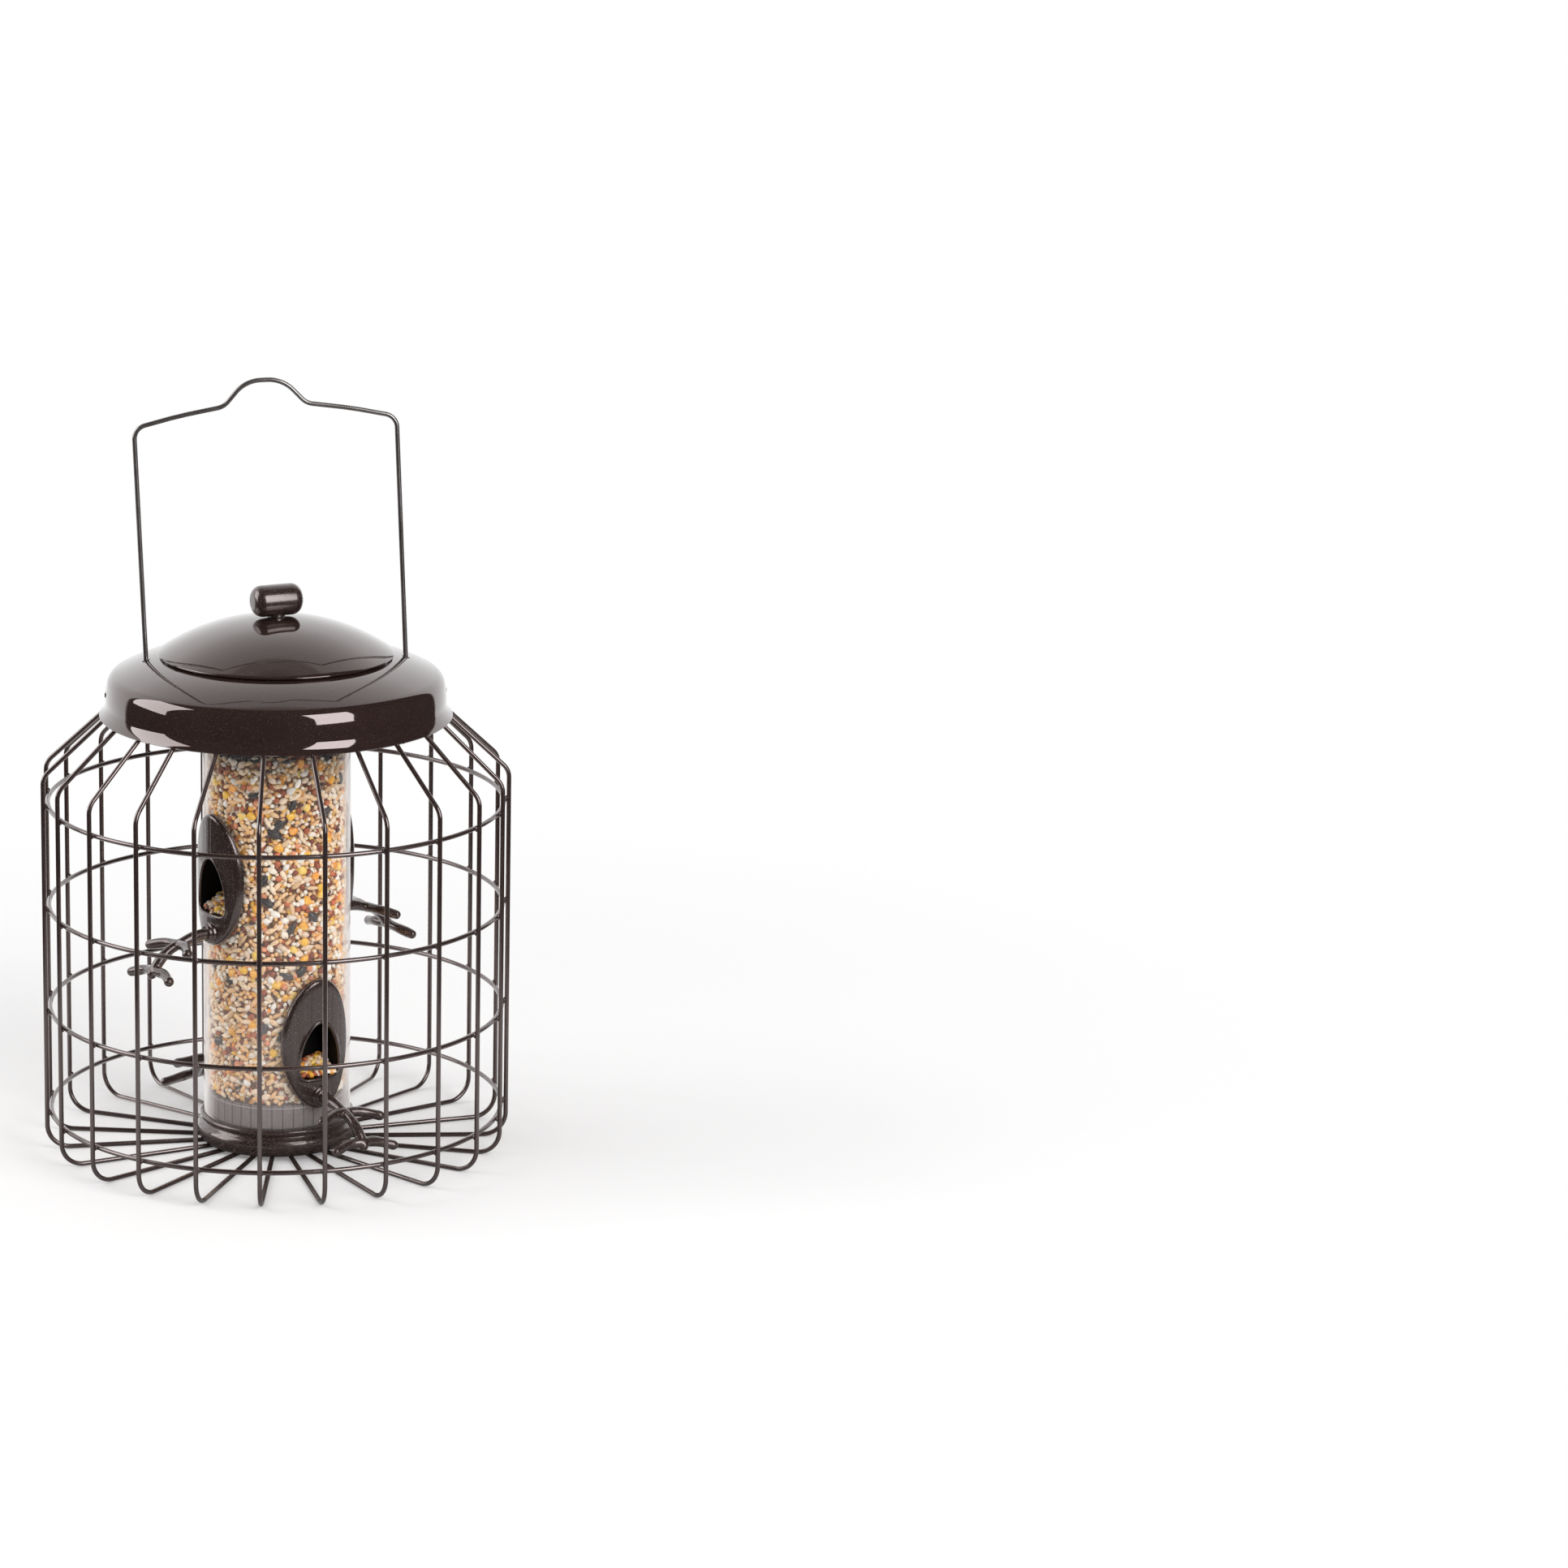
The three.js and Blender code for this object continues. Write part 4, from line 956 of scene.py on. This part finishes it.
def make_knob():
    middle = knob_top - KNOB_RADIUS
    half, bend = KNOB_LENGTH / 2, KNOB_END_BEND
    outline = [(0, -half)]
    outline += arc((KNOB_RADIUS - bend, bend - half), bend, -pi / 2, 0, 10)
    outline += [(KNOB_RADIUS, 0)]
    outline += arc((KNOB_RADIUS - bend, half - bend), bend, 0, pi / 2, 10)
    outline += [(0, half)]
    vertices, faces = lathe(outline, 64, closed=False)
    knob = make_object("capsule_knob", turned(vertices, KNOB_BEARING, middle), faces, coat_knob)
    place(knob, "knob", "dark_coat", "knob")
    foot = lid_top + LID_SWELL + KNOB_STEM_GAP
    stem = [
        (SCREW_HOLE_RADIUS, foot), (KNOB_STEM_RADIUS, foot),
        (KNOB_STEM_RADIUS, middle), (SCREW_HOLE_RADIUS, middle),
    ]
    place(make_object("knob_stem", *lathe(stem, 48), coat_knob), "knob", "dark_coat", "knob")


# Tube, base and plug

def make_tube():
    inside, outside = tube_bore, TUBE_RADIUS
    corners = ((inside, tube_foot), (outside, tube_foot), (outside, tube_top), (inside, tube_top))
    outline = rounded([(r, z, TUBE_EDGE_BEND) for r, z in corners])
    tube = make_object("clear_tube", *lathe(outline, 160), clear, sharp_angle=30 * DEGREE)
    cut_mouths(tube, HOOD_WALL + SEAT_GAP, 64)
    place(tube, "root", "clear_tube", "seed_tube")


def make_base():
    heights = [base_foot + (base_deck - base_foot) * s for s in BASE_HEIGHT_SHARES]
    outline = [tuple(p) for p in smooth_through(np.array(list(zip(BASE_RADII, heights))), 49)]
    under_deck = base_deck - BASE_DECK
    outline += [
        (BASE_BORE_RADIUS, base_deck), (BASE_BORE_RADIUS, under_deck),
        (BASE_RADII[BASE_SHOULDER] - BASE_WALL, under_deck), (BASE_RADII[0] - BASE_WALL, base_foot),
    ]
    place(make_object("base_ring", *lathe(outline), coat_sparkle), "root", "dark_coat", "base_casting")


def make_plug():
    """The moulded plug in the foot of the tube: flat facets with fine grooves between them."""
    radius = tube_bore - SEAT_GAP
    bevel = PLUG_BEVEL
    half_facet = pi / PLUG_FACETS
    rings = []
    for inset, z in (
        (radius - PLUG_SOLE_RADIUS, plug_foot), (0, plug_foot), (0, plug_top - bevel),
        (bevel * 0.3, plug_top - bevel * 0.3), (bevel, plug_top), (PLUG_BRIM, plug_top),
        (radius * PLUG_DISH_SHARE, plug_top - PLUG_DISH),
    ):
        ring = []
        for k, angle in enumerate(angles(PLUG_FACETS * PLUG_FACET_STEPS)):
            step = k % PLUG_FACET_STEPS
            in_facet = step / PLUG_FACET_STEPS * TURN / PLUG_FACETS - half_facet
            reach = radius * cos(half_facet) / cos(in_facet) - (0 if step else PLUG_GROOVE) - inset
            ring.append((reach * sin(angle), -reach * cos(angle), z))
        rings.append(ring)
    plug = make_object("tube_plug", *skin(rings), plug_grey, sharp_angle=25 * DEGREE)
    place(plug, "root", "grey_plug", "base_plug")


# Ports and perches

def mouth_outline(extra, count):
    """The mouth's outline, at even angles about its middle, grown by an extra."""
    half = MOUTH_HALF_WIDTH + extra
    foot = mouth_foot - extra
    top = foot + MOUTH_HEIGHT + 2 * extra
    bend = MOUTH_CORNER + extra
    spring = foot + bend
    shares = np.linspace(0, 1, 40)
    right = [(x, foot) for x in np.linspace(0, half - bend, 12)[:-1]]
    right += bezier([(half - bend, foot), (half, foot), (half, spring)], shares[:-1])
    right += bezier([(half, spring), (half, (spring + top) / 2), (half / 2, top), (0, top)], shares)
    outline = right + [(-x, y) for x, y in right[::-1]]
    x, y = np.array(outline).T
    y = y - mouth_middle
    wanted = angles(count) - pi
    reaches = np.interp(wanted, np.arctan2(y, x), np.hypot(x, y), period=TURN)
    return [(r * cos(a), mouth_middle + r * sin(a)) for r, a in zip(reaches, wanted)]


def shield_outline(count):
    """Points of the shield's oval in the same directions from the mouth's middle."""
    a, b = SHIELD_HALF_WIDTH, SHIELD_HALF_HEIGHT
    points = []
    for angle in angles(count) - pi:
        dx, dy = cos(angle), sin(angle)
        qa = (dx / a) ** 2 + (dy / b) ** 2
        qb = 2 * mouth_middle * dy / b ** 2
        qc = (mouth_middle / b) ** 2 - 1
        t = (-qb + sqrt(qb * qb - 4 * qa * qc)) / (2 * qa)
        points.append((t * dx, mouth_middle + t * dy))
    return points


def make_port(name, bearing):
    height = port_heights[name]
    outer = [np.array(p) for p in shield_outline(SHIELD_POINTS)]
    mouth = [np.array(p) for p in mouth_outline(0, SHIELD_POINTS)]
    sleeve = mouth_outline(HOOD_WALL, SHIELD_POINTS)
    bead_foot = asin((MOUTH_BEAD - MOUTH_BEAD_RISE) / MOUTH_BEAD)
    bead_out = shield_outer + MOUTH_BEAD_RISE - MOUTH_BEAD
    bead_inset = MOUTH_BEAD * (1 + cos(bead_foot))

    def flat(points, out):
        return [port_point(bearing, height, u, v, out) for u, v in points]

    def on_tube(points, radius):
        return [port_point(bearing, height, u, v, sqrt(radius ** 2 - u ** 2)) for u, v in points]

    def face_ring(from_edge, from_mouth, share, radius):
        """A ring on the shield's face, a share of the way from its edge to its mouth."""
        points = []
        for e, m in zip(outer, mouth):
            way = (m - e) / np.linalg.norm(m - e)
            start, end = e + way * from_edge, m - way * from_mouth
            points.append(start + (end - start) * share)
        return on_tube(points, radius)

    rings = [flat(sleeve, hood_back), on_tube(sleeve, shield_inner), on_tube(outer, shield_inner)]
    for angle in np.linspace(0, pi / 2, 7):
        inset, drop = SHIELD_EDGE * (1 - cos(angle)), SHIELD_EDGE * (1 - sin(angle))
        rings.append(face_ring(inset, bead_inset, 0, shield_outer - drop))
    for share in np.linspace(0.15, 1, 7):
        rings.append(face_ring(SHIELD_EDGE, bead_inset, share, shield_outer))
    for angle in np.linspace(pi - bead_foot, 0, 10)[1:]:
        rings.append(face_ring(0, MOUTH_BEAD * (1 - cos(angle)), 1, bead_out + MOUTH_BEAD * sin(angle)))
    inside_start = (len(rings) - 1) * SHIELD_POINTS
    for share in (0.35, 0.65, 1):
        rings.append(flat(mouth, bead_out + (hood_back + HOOD_WALL - bead_out) * share))
    port = make_object(f"shield_{name}", *skin(rings), coat_shield, sharp_angle=50 * DEGREE)
    port.data.materials.append(hood_painted_shade)
    for face in port.data.polygons[inside_start:]:
        face.material_index = 1
    place(port, "root", "dark_coat", f"port_{name}")
    make_hub(name, bearing, height + hub_up)


def make_hub(name, bearing, height):
    """The stepped boss at the shield's foot that holds the perch."""
    root, rim, face = shield_outer - HUB_ROOT, hub_face - HUB_STEP, hub_face + HUB_STEP / 2
    step_radius = HUB_RADIUS - HUB_STEP
    corners = (
        (HUB_BORE_RADIUS, root), (HUB_RADIUS + HUB_FLARE, root), (HUB_RADIUS, rim), (step_radius, rim),
        (step_radius, face), (HUB_DISH_RADIUS, face), (HUB_BORE_RADIUS, hub_face - HUB_DISH))
    vertices, faces = lathe(rounded([(*corner, bend) for corner, bend in zip(corners, HUB_BENDS)]), 48)
    hub = make_object(f"hub_{name}", turned(vertices, bearing, height), faces, coat)
    place(hub, "root", "dark_coat", f"port_{name}")


def make_perch(name, bearing):
    height = port_heights[name] + hub_up
    start = hub_face - PERCH_ROOT
    run_over = hub_face + SEAT_GAP - start
    reach, tilt, roll = PERCH_SETS[name]

    def spot(run_share, spread, drop_share):
        """A place at shares of the reach and the drop, sideways by a spread."""
        run = run_over + run_share * reach
        drop = drop_share * PERCH_DROP + run * tan(tilt) - spread * sin(roll)
        return np.array(port_point(bearing, height, spread, -drop, start + run))

    stem = [spot(run, 0, drop) for run, drop in zip(STEM_RUN_SHARES, STEM_DROP_SHARES)]
    stem[0] = np.array(port_point(bearing, height, 0, 0, start))
    bars = [(smooth_through(stem, 30), STEM_RADIUS)]
    for root, tip in TWIG_SHARES:
        bow = [(a + b) / 2 - TWIG_BOW_SHARE for a, b in zip(root, tip)]
        for side in (-TWIG_SPREAD, TWIG_SPREAD):
            twig = [spot(root[0], 0, root[1]), spot(bow[0], side / 2, bow[1]), spot(tip[0], side, tip[1])]
            bars.append((smooth_through(twig, 14), TWIG_RADIUS))
    vertices, faces = [], []
    for points, root_radius in bars:
        share = np.linspace(0, 1, len(points))
        # The number of vertices so far only makes each bar's wave start elsewhere
        swell = 1 + TWIG_SWELL * np.sin(share * TWIG_SWELL_TURN + len(vertices))
        radii = (root_radius + (TWIG_RADIUS - root_radius) * share) * swell
        track = [Vector(p) for p in points]
        tip, tip_way = track[-1], (track[-1] - track[-2]).normalized()
        track += [tip + tip_way * TWIG_RADIUS * sin(a) for a in TWIG_END_ANGLES]
        bar, bar_faces = sweep(track, [*radii, *(TWIG_RADIUS * cos(a) for a in TWIG_END_ANGLES)])
        faces += [tuple(k + len(vertices) for k in face) for face in bar_faces]
        vertices += bar
    perch = make_object(f"twig_perch_{name}", vertices, faces, coat_sparkle, sharp_angle=pi)
    blend_joints(perch)
    place(perch, "root", "dark_coat", f"perch_{name}")


def blend_joints(obj):
    """Melts the bars of a perch into one casting."""
    remesh = obj.modifiers.new("blend", "REMESH")
    remesh.mode = "VOXEL"
    remesh.voxel_size = BLEND_VOXEL
    smooth = obj.modifiers.new("soften", "SMOOTH")
    smooth.factor = 0.5
    smooth.iterations = BLEND_ROUNDS
    bpy.context.view_layer.objects.active = obj
    for modifier in ("blend", "soften"):
        bpy.ops.object.modifier_apply(modifier=modifier)
    obj.data.shade_smooth()


# Seed

def seed_shape(kind, level):
    """A unit seed: long along x, thin along z, pointed by its taper and, for maize, a blunt wedge."""
    points, faces = ball(level)
    pts = np.array([tuple(p) for p in points])
    taper = SEED_KINDS[kind]["taper"]
    ends = 1 - taper * np.abs(pts[:, 0]) ** SEED_END_POWER
    lean_end = 1 - SEED_TIP * taper * pts[:, 0]
    pts[:, 1] *= ends * lean_end
    pts[:, 2] *= ends * lean_end
    if kind == "maize":
        pts = np.sign(pts) * np.abs(pts) ** MAIZE_ROUNDNESS
        pts[:, 1] *= 1 - MAIZE_WEDGE * pts[:, 0]
    return pts / 2, np.array(faces)


def thickness(kind):
    return SEED_KINDS[kind]["size"][2] * MM


def pick(kinds):
    return kinds[rng.integers(len(kinds))]


def tipped(way, spread):
    """A way, tipped at random by a spread."""
    return way + spread * rng.standard_normal(3)


def lying(spread):
    """A random level way that points a little up or down by a spread."""
    return np.append(rng.standard_normal(2), rng.normal(0, spread))


def top_shade(z):
    """Painted shade from the roof: the seed is darker towards its top."""
    return 1 - TOP_DARKENING * max(0.0, 1 - (seed_top - z) / DARK_TOP)


def behind_shield(bearing, height, margin):
    """Whether a place on the tube's wall lies in a port's hood."""
    for name, port_bearing in PORTS.items():
        turn = (bearing - port_bearing + pi) % TURN - pi
        if abs(turn) > 1:
            continue
        u, v = tube_bore * sin(turn), height - port_heights[name]
        grown = HOOD_WALL + margin
        if abs(u) < MOUTH_HALF_WIDTH + grown and mouth_foot - grown < v < mouth_foot + MOUTH_HEIGHT + grown:
            return True
    return False


def scatter_on_wall():
    """Places seeds against the tube's wall: big ones first, then smaller ones in the room left."""
    low, high = seed_foot, seed_top - WALL_TOP_GAP
    around = TURN * tube_bore
    columns = int(around / GRID_CELL)
    grid = {}
    placed = {kind: [] for kind in SEED_KINDS}

    def is_free(s, z, reach, column, row):
        for c in range(column - 2, column + 3):
            for r in range(row - 2, row + 3):
                for s1, z1, r1 in grid.get((c % columns, r), ()):
                    ds = min(abs(s - s1), around - abs(s - s1))
                    if ds * ds + (z - z1) ** 2 < (reach + r1) ** 2:
                        return False
        return True

    for kind, facts in SEED_KINDS.items():
        reach = sqrt(facts["size"][0] * facts["size"][1]) / 2 * MM * SEED_PACKING
        for _ in range(facts["count"]):
            s, z = rng.uniform(0, around), rng.uniform(low + reach * 0.7, high - reach * 0.3)
            if behind_shield(s / tube_bore, z, reach):
                continue
            if z - low < FINE_FOOT and kind in COARSE_KINDS and rng.uniform() < COARSE_LEFT_OUT:
                continue
            cell = (int(s / GRID_CELL) % columns, int(z / GRID_CELL))
            if is_free(s, z, reach, *cell):
                grid.setdefault(cell, []).append((s, z, reach))
                placed[kind].append((s / tube_bore, z))
    return placed


def fill_wall(spots):
    """The seed that lies against the tube's wall."""
    for kind, places in scatter_on_wall().items():
        for bearing, z in places:
            out = np.array(outwards(bearing))
            side = np.array(across(bearing))
            lie = rng.normal(0, WALL_LIE)
            along = side * cos(lie) + UPWARDS * sin(lie) + out * rng.normal(0, WALL_POKE)
            at = out * (tube_bore - thickness(kind) / 2 - rng.uniform(*WALL_GAPS)) + UPWARDS * z
            spots[kind].append((at, along, tipped(out, WALL_TILT), top_shade(z)))


def fill_behind(spots):
    """A second layer of seed, seen in the gaps of the first."""
    for row in range(int((seed_top - seed_foot) / DEEP_PITCH)):
        z0 = seed_foot + (row + 0.5) * DEEP_PITCH
        for k in range(int(TURN * tube_bore / DEEP_PITCH)):
            bearing = (k + 0.5 * (row % 2) + rng.uniform(-DEEP_JITTER, DEEP_JITTER)) * DEEP_PITCH / tube_bore
            z = z0 + rng.uniform(-DEEP_JITTER, DEEP_JITTER) * DEEP_PITCH
            if z > seed_top - DEEP_TOP_GAP or behind_shield(bearing, z, DEEP_HOOD_GAP):
                continue
            kind = pick(DEEP_KINDS)
            out = np.array(outwards(bearing))
            at = out * (tube_bore - DEEP_LAYER - thickness(kind) / 2) + UPWARDS * z
            thin = tipped(out, DEEP_TILT)
            spots[kind].append((at, rng.standard_normal(3), thin, DEEP_SHADE * top_shade(z)))


def fill_top(spots):
    """The upper surface of the seed: a darker mix of kinds, with painted shade from the roof."""
    for _ in range(TOP_GRAINS):
        radius = (tube_bore - TOP_EDGE_GAP) * sqrt(rng.uniform())
        angle = rng.uniform(0, TURN)
        kind = pick(TOP_KINDS)
        z = seed_top - TOP_DEPTH + rng.uniform(0, TOP_RISE)
        at = np.array((radius * cos(angle), radius * sin(angle), z))
        spots[kind].append((at, lying(TOP_LIE), tipped(UPWARDS, TOP_TILT), TOP_SHADE))


def fill_port(name, bearing, spots):
    """A heap of seed that slopes up from the sill, inside a port's hood."""
    back = hood_back + HOOD_WALL + HEAP_BACK_GAP
    for _ in range(HEAP_GRAINS):
        out = rng.uniform(back, TUBE_RADIUS + HEAP_SPILL)
        u = rng.uniform(-1, 1) * (MOUTH_HALF_WIDTH - HEAP_SIDE_GAP)
        heap = HEAP_SILL + max(0.0, TUBE_RADIUS + HEAP_FOOT - out) * tan(HEAP_SLOPE)
        rise = max(heap - rng.uniform(0, HEAP_DEPTH), HEAP_SILL)
        kind = pick(HEAP_KINDS)
        at = np.array(port_point(bearing, port_heights[name], u, mouth_foot + rise, out))
        spots[kind].append((at, lying(HEAP_LIE), tipped(UPWARDS, HEAP_TILT), HEAP_SHADES[name[:5]]))


def seed_mesh(name, kind, spots, finish, level):
    """One mesh of many seeds: spots are (place, long way, thin way, shade)."""
    shape, faces = seed_shape(kind, level)
    size = np.array(SEED_KINDS[kind]["size"]) * MM
    tints = np.array([srgb(*t)[:3] for t in SEED_KINDS[kind]["tints"]])
    count, per = len(spots), len(shape)
    vertices = np.zeros((count, per, 3))
    colours = np.ones((count, per, 4))
    for i, (at, along, thin, shade) in enumerate(spots):
        long_way = along / np.linalg.norm(along)
        thin_way = thin - long_way * (thin @ long_way)
        thin_way /= np.linalg.norm(thin_way)
        wide_way = np.cross(thin_way, long_way)
        grow = size * rng.uniform(*SEED_SIZES, 3)
        local = shape * (1 + SEED_UNEVENNESS * rng.standard_normal((per, 1))) * grow
        vertices[i] = at + local[:, :1] * long_way + local[:, 1:2] * wide_way + local[:, 2:] * thin_way
        tint = pick(tints) * shade * rng.uniform(*SEED_SHADES)
        colours[i, :, :3] = tint / max(1, tint.max())
    all_faces = (faces[None] + per * np.arange(count)[:, None, None]).reshape(-1, 3)
    mesh = bpy.data.meshes.new(name)
    mesh.vertices.add(count * per)
    mesh.vertices.foreach_set("co", vertices.ravel())
    mesh.loops.add(all_faces.size)
    mesh.loops.foreach_set("vertex_index", all_faces.ravel())
    mesh.polygons.add(len(all_faces))
    mesh.polygons.foreach_set("loop_start", np.arange(0, all_faces.size, 3))
    mesh.update(calc_edges=True)
    mesh.shade_smooth()
    layer = mesh.color_attributes.new("tint", "FLOAT_COLOR", "POINT")
    layer.data.foreach_set("color", colours.ravel())
    side = mesh.attributes.new("side", "FLOAT", "POINT")
    side.data.foreach_set("value", np.tile(shape[:, 1] * 2, count).astype(np.float32))
    place(link_object(name, mesh, finish), "root", "seed_mix", "seed_fill_lower", "seed_fill_upper")


def make_seed_mix():
    spots = {kind: [] for kind in SEED_KINDS}
    deep = {kind: [] for kind in SEED_KINDS}
    fill_wall(spots)
    fill_behind(deep)
    fill_top(spots)
    for name, bearing in PORTS.items():
        fill_port(name, bearing, spots)
    for kind in SEED_KINDS:
        finish = make_seed(kind)
        seed_mesh(f"seeds_{kind}", kind, spots[kind], finish, 2)
        if deep[kind]:
            seed_mesh(f"deep_seeds_{kind}", kind, deep[kind], finish, 1)


def make_seed_core():
    """The seed deeper in the tube, seen only in the gaps between the outer grains."""
    crown = seed_top - CORE_TOP_GAP
    outline = [(0, seed_foot), (CORE_RADIUS, seed_foot), (CORE_RADIUS, crown), (0, crown)]
    core = make_object("seed_depths", *lathe(outline, 96, closed=False), make_depths("seed_depth"))
    cut_mouths(core, HOOD_WALL, 48)
    place(core, "root", "seed_mix", "seed_fill_lower", "seed_fill_upper")


# Studio

def make_camera():
    data = bpy.data.cameras.new("camera")
    data.sensor_width = SENSOR_WIDTH_MM
    data.lens = CAMERA_FOCAL_PIXELS * SENSOR_WIDTH_MM / PHOTO_PIXELS
    data.clip_start, data.clip_end = CAMERA_CLIP
    camera = bpy.data.objects.new("camera", data)
    bpy.context.scene.collection.objects.link(camera)
    stand = Matrix.Translation(CAMERA_PLACE)
    for angle, axis in ((-CAMERA_YAW, "Z"), (pi / 2 - CAMERA_PITCH, "X"), (CAMERA_ROLL, "Z")):
        stand = stand @ Matrix.Rotation(angle, 4, axis)
    camera.matrix_world = stand
    bpy.context.scene.camera = camera


def make_softbox(name, stand, size, power):
    data = bpy.data.lights.new(name, "AREA")
    data.shape = "RECTANGLE"
    data.size, data.size_y = size
    data.energy = power
    lamp = bpy.data.objects.new(name, data)
    bpy.context.scene.collection.objects.link(lamp)
    lamp.location = stand
    lamp.rotation_euler = (Vector(LIGHT_AIM) - Vector(stand)).to_track_quat("-Z", "Y").to_euler()


def behind_room(nodes, x, y):
    """One where a level way (x, y) points past the dark room, towards the white sides and back."""
    towards = nodes.plus(nodes.times(x, sin(ROOM_AZIMUTH)), nodes.times(y, -cos(ROOM_AZIMUTH)))
    square = nodes.plus(nodes.times(x, x), nodes.times(y, y))
    level = nodes.maths("MAXIMUM", nodes.maths("SQRT", square), 0.001)  # never zero
    share = nodes.maths("DIVIDE", towards, level)
    return nodes.ramp(share, ROOM_EDGE + ROOM_EDGE_BLUR, ROOM_EDGE - ROOM_EDGE_BLUR)


def make_world():
    """White all round for the camera; reflections see a dark room in front and a dim ceiling."""
    world = bpy.data.worlds.new("studio")
    bpy.context.scene.world = world
    world.use_nodes = True
    nodes = Nodes(world.node_tree)
    way = nodes.axes(nodes.node("ShaderNodeTexCoord").outputs["Generated"])
    mirrored = behind_room(nodes, way["X"], way["Y"])
    for start, end, left in CEILING_FADES:
        mirrored = nodes.times(mirrored, nodes.ramp(way["Z"], start, end, 1.0, left))
    mirrored = nodes.maths("MAXIMUM", mirrored, ROOM_DARK)
    seen, rays = nodes.seen_rays()
    unseen = nodes.maths("SUBTRACT", 1.0, seen)
    glossy = nodes.times(rays["Is Glossy Ray"], unseen)
    rest = nodes.maths("SUBTRACT", unseen, glossy)
    strength = nodes.plus(seen, nodes.times(glossy, mirrored))
    strength = nodes.plus(strength, nodes.times(rest, WORLD_LIGHT))
    background = nodes.tree.nodes["Background"]
    background.inputs["Color"].default_value = WHITE
    nodes.tree.links.new(strength, background.inputs["Strength"])


def make_floor():
    """Pale with the object's shadow near it, and plain white further off. In reflections a white
    table ends in front of the object, where the room is dark."""
    grey = (FLOOR_GREY, FLOOR_GREY, FLOOR_GREY, 1)
    made = Finish("floor_white", Base_Color=grey, Roughness=0.9, Specular_IOR_Level=0.1)
    lit = made.shader.outputs[0]
    length = made.vector_maths("LENGTH", made.place)["Value"]
    near = made.node("ShaderNodeAddShader", {0: lit, 1: made.glow(FLOOR_GLOW_TINT, FLOOR_GLOW)}).outputs[0]
    far = made.ramp(length, *FLOOR_FAR, interpolation_type="SMOOTHSTEP")
    shown = made.blend(far, near, made.glow(WHITE, 1.0))
    axes = made.axes(made.place)
    table = made.ramp(length, TABLE_REACH, TABLE_END, TABLE_MIRRORED, 0.0)
    table = made.times(table, made.ramp(length, *TABLE_SHADE))
    backdrop = made.times(behind_room(made, axes["X"], axes["Y"]), BACKDROP_MIRRORED)
    mirrored = made.maths("MAXIMUM", made.maths("MAXIMUM", table, backdrop), ROOM_DARK)
    seen, rays = made.seen_rays()
    unseen = made.blend(rays["Is Glossy Ray"], lit, made.glow(WHITE, mirrored))
    surface = made.blend(seen, unseen, shown)
    made.tree.links.new(surface, made.tree.nodes["Material Output"].inputs["Surface"])
    half = FLOOR_HALF_WIDTH
    corners = [(-half, -half, 0), (half, -half, 0), (half, half, 0), (-half, half, 0)]
    make_object("floor", corners, [(0, 1, 2, 3)], made.material)


make_cage()
make_roof()
make_bail()
make_lid()
make_knob()
make_tube()
make_base()
make_plug()
for port_name, port_bearing in PORTS.items():
    make_port(port_name, port_bearing)
    make_perch(port_name, port_bearing)
make_seed_mix()
make_seed_core()
for node, finish in (
    ("cage_floor_disc", coat), ("lid_spigot", coat), ("filler_funnel", coat),
    ("knob_screw", steel), ("base_screw", steel),
):
    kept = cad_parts[node]
    kept.data.materials.clear()
    kept.data.materials.append(finish)
bpy.context.scene.view_settings.view_transform = "Standard"
make_camera()
make_world()
make_floor()
for softbox, facts in SOFTBOXES.items():
    make_softbox(softbox, *facts)
